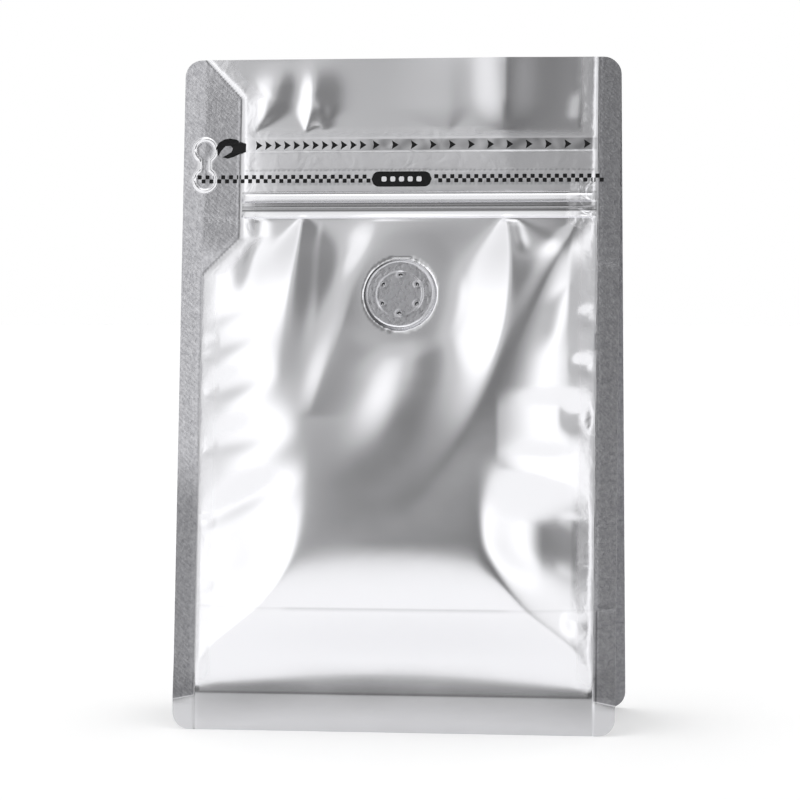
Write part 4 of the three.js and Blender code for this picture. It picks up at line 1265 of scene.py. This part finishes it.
def studio_world():
    """Soft light all round: a bright soft box at the left and one at the right, a dim
    gap behind the camera, a grey ceiling and a bright overhead box. The back is lit the
    same way. What the camera sees past the floor is plain white."""
    world = bpy.data.worlds.new("studio")
    world.use_nodes = True
    tree = world.node_tree
    tree.nodes.clear()
    look = add(tree, "ShaderNodeTexCoord")
    part = add(tree, "ShaderNodeSeparateXYZ", None, {0: (look, "Generated")})
    depth = add(tree, "ShaderNodeMath", {"operation": "ABSOLUTE"}, {0: (part, "Y")})
    turn = add(tree, "ShaderNodeMath", {"operation": "ARCTAN2"}, {0: (part, "X"), 1: (depth, 0)})
    rise = add(tree, "ShaderNodeMath", {"operation": "ARCSINE"}, {0: (part, "Z")})
    deg = np.radians
    soft = {"interpolation_type": "SMOOTHSTEP"}
    # each box: where it begins, where it is full, its strength, and its fading far side
    left = add(tree, "ShaderNodeMapRange", {**soft, 1: deg(-11), 2: deg(-27)}, {0: (turn, 0)})
    left_fade = add(tree, "ShaderNodeMapRange",
                    {**soft, 1: deg(-30), 2: deg(-62), 3: 1.35, 4: 0.8}, {0: (turn, 0)})
    right = add(tree, "ShaderNodeMapRange", {**soft, 1: deg(10), 2: deg(28)}, {0: (turn, 0)})
    right_fade = add(tree, "ShaderNodeMapRange",
                     {**soft, 1: deg(29), 2: deg(58), 3: 1.3, 4: 0.55}, {0: (turn, 0)})
    gap_left = add(tree, "ShaderNodeMix", {"data_type": "FLOAT", 2: GAP_LIGHT},
                   {0: (left, 0), 3: (left_fade, 0)})
    boxes = add(tree, "ShaderNodeMix", {"data_type": "FLOAT"},
                {0: (right, 0), 2: (gap_left, 0), 3: (right_fade, 0)})
    side = add(tree, "ShaderNodeMath", {"operation": "ADD"}, {0: (left, 0), 1: (right, 0)})
    # higher up the boxes dim, and the ceiling between them is brighter at the left
    dim = add(tree, "ShaderNodeMapRange", {**soft, 1: deg(20), 2: deg(52), 3: 1, 4: 0.7},
              {0: (rise, 0)})
    high_box = add(tree, "ShaderNodeMath", {"operation": "MULTIPLY"}, {0: (boxes, 0), 1: (dim, 0)})
    upper = add(tree, "ShaderNodeMapRange", {**soft, 1: deg(-10), 2: deg(2), 3: 0.64, 4: 0.2},
                {0: (turn, 0)})
    ceiling = add(tree, "ShaderNodeMix", {"data_type": "FLOAT"},
                  {0: (side, 0), 2: (upper, 0), 3: (high_box, 0)})
    climb = add(tree, "ShaderNodeMapRange", {**soft, 1: deg(4), 2: deg(24)}, {0: (rise, 0)})
    walls = add(tree, "ShaderNodeMix", {"data_type": "FLOAT"},
                {0: (climb, 0), 2: (boxes, 0), 3: (ceiling, 0)})
    over = add(tree, "ShaderNodeMapRange", {**soft, 1: deg(48), 2: deg(70)}, {0: (rise, 0)})
    room = add(tree, "ShaderNodeMix", {"data_type": "FLOAT", 3: OVERHEAD_LIGHT},
               {0: (over, 0), 2: (walls, 0)})
    ground = add(tree, "ShaderNodeMapRange", {**soft, 1: deg(-4), 2: deg(-16)}, {0: (rise, 0)})
    total = add(tree, "ShaderNodeMix", {"data_type": "FLOAT", 3: GROUND_LIGHT},
                {0: (ground, 0), 2: (room, 0)})
    lit = add(tree, "ShaderNodeBackground", {"Color": (1, 1, 1, 1)}, {"Strength": (total, 0)})
    plain = add(tree, "ShaderNodeBackground", {"Color": (1, 1, 1, 1), "Strength": 1})
    ray = add(tree, "ShaderNodeLightPath")
    both = add(tree, "ShaderNodeMixShader", None,
               {0: (ray, "Is Camera Ray"), 1: (lit, 0), 2: (plain, 0)})
    add(tree, "ShaderNodeOutputWorld", None, {"Surface": (both, 0)})
    return world


def place_camera(settings):
    """The camera at the photograph's place, turned by yaw, pitch and roll."""
    pitch, yaw, roll = np.radians([CAMERA_PITCH, CAMERA_YAW, CAMERA_ROLL])
    ahead = Vector((np.sin(yaw) * np.cos(pitch), np.cos(yaw) * np.cos(pitch), -np.sin(pitch)))
    right = Vector((np.cos(yaw), -np.sin(yaw), 0))
    up = right.cross(ahead)
    right, up = right * np.cos(roll) + up * np.sin(roll), up * np.cos(roll) - right * np.sin(roll)
    camera = bpy.data.cameras.new("camera")
    camera.lens = settings.lens
    camera.sensor_width = 36
    camera.clip_start = 0.01
    camera.clip_end = 50
    seat = bpy.data.objects.new("camera", camera)
    turn = Matrix((right, up, -ahead)).transposed().to_4x4()
    seat.matrix_world = Matrix.Translation(Vector(CAMERA_PLACE)) @ turn
    bpy.context.scene.collection.objects.link(seat)
    bpy.context.scene.camera = seat


# ------------------------------------------------------------------------------ operators


class BAG_OT_film(bpy.types.Operator):
    """Builds the foil pouch with its seals, folds, zipper ridges and pull tab"""

    bl_idname = "bag.film"
    bl_label = "Foil Pouch"

    def execute(self, context):
        scene = context.scene
        piece = build_film(Film(scene))
        dress(piece, metallised_film(scene.finishes), "silver_foil", "pouch")
        return {"FINISHED"}


class BAG_OT_valve(bpy.types.Operator):
    """Builds the degassing valve with its rim, ring and pinholes"""

    bl_idname = "bag.valve"
    bl_label = "Degassing Valve"

    def execute(self, context):
        scene = context.scene
        piece = build_valve(Film(scene), scene.valve_sizes)
        dress(piece, pressed_valve_film(scene.finishes), "valve_foil", "degassing_valve")
        return {"FINISHED"}


class BAG_OT_prints(bpy.types.Operator):
    """Builds the black prints along the zipper: checker band, arrows, label and hand"""

    bl_idname = "bag.prints"
    bl_label = "Prints"

    def execute(self, context):
        scene = context.scene
        film = Film(scene)
        sizes = scene.print_sizes
        ink = gravure_ink(scene.finishes)
        half = sizes.label_width / MM / 2
        x, z = LABEL_CENTRE
        outlines = {
            "checker_band": checker_outlines(sizes),
            "tear_arrows": arrow_outlines(sizes),
            "zipper_label": [pill_strips(x - half, x + half, z, LABEL_HALF)],
            "hand_sign": [HAND, THUMB],
        }
        for name, shapes in outlines.items():
            dress(print_plates(film, name, shapes), ink, "black_ink")
        places = [x + k * MARK_PITCH for k in range(-2, 3)]
        marks = [cut_square(place, z, MARK_HALF, MARK_CUT) for place in places]
        piece = print_plates(film, "label_marks", marks, MARK_PROUD)
        dress(piece, bare_foil_mark(scene.finishes), "silver_foil")
        return {"FINISHED"}


class BAG_OT_stage(bpy.types.Operator):
    """Builds the pale floor, the studio light and the camera"""

    bl_idname = "bag.stage"
    bl_label = "Stage"

    def execute(self, context):
        scene = context.scene
        half = scene.stage_settings.floor_side / MM / 2
        corners = [(-half, -half, 0), (half, -half, 0), (half, half, 0), (-half, half, 0)]
        floor = make_mesh("floor", corners, [(0, 1, 2, 3)])
        floor.data.materials.append(paper_floor(scene.finishes))
        scene.world = studio_world()
        scene.view_settings.view_transform = "Standard"
        place_camera(scene.stage_settings)
        return {"FINISHED"}


class BAG_PT_panel(bpy.types.Panel):
    """Lists the pieces of the bag"""

    bl_idname = "BAG_PT_panel"
    bl_label = "Coffee Bag"
    bl_space_type = "VIEW_3D"
    bl_region_type = "UI"
    bl_category = "Coffee Bag"

    def draw(self, context):
        for group in (context.scene.bag_sizes, context.scene.valve_sizes,
                      context.scene.print_sizes, context.scene.finishes,
                      context.scene.stage_settings):
            box = self.layout.box()
            for key in group.bl_rna.properties.keys():
                if key not in ("rna_type", "name"):
                    box.prop(group, key)
        for operator in OPERATORS:
            self.layout.operator(operator.bl_idname)


GROUPS = {
    "bag_sizes": BagSizes,
    "valve_sizes": ValveSizes,
    "print_sizes": PrintSizes,
    "finishes": Finishes,
    "stage_settings": StageSettings,
}
OPERATORS = (BAG_OT_film, BAG_OT_valve, BAG_OT_prints, BAG_OT_stage)


def register():
    for name, group in GROUPS.items():
        bpy.utils.register_class(group)
        setattr(bpy.types.Scene, name, PointerProperty(type=group))
    for item in (*OPERATORS, BAG_PT_panel):
        bpy.utils.register_class(item)


def unregister():
    for item in reversed((*OPERATORS, BAG_PT_panel)):
        bpy.utils.unregister_class(item)
    for name, group in reversed(GROUPS.items()):
        delattr(bpy.types.Scene, name)
        bpy.utils.unregister_class(group)


def main():
    register()
    bpy.ops.bag.film()
    bpy.ops.bag.valve()
    bpy.ops.bag.prints()
    bpy.ops.bag.stage()


if __name__ == "__main__":
    main()
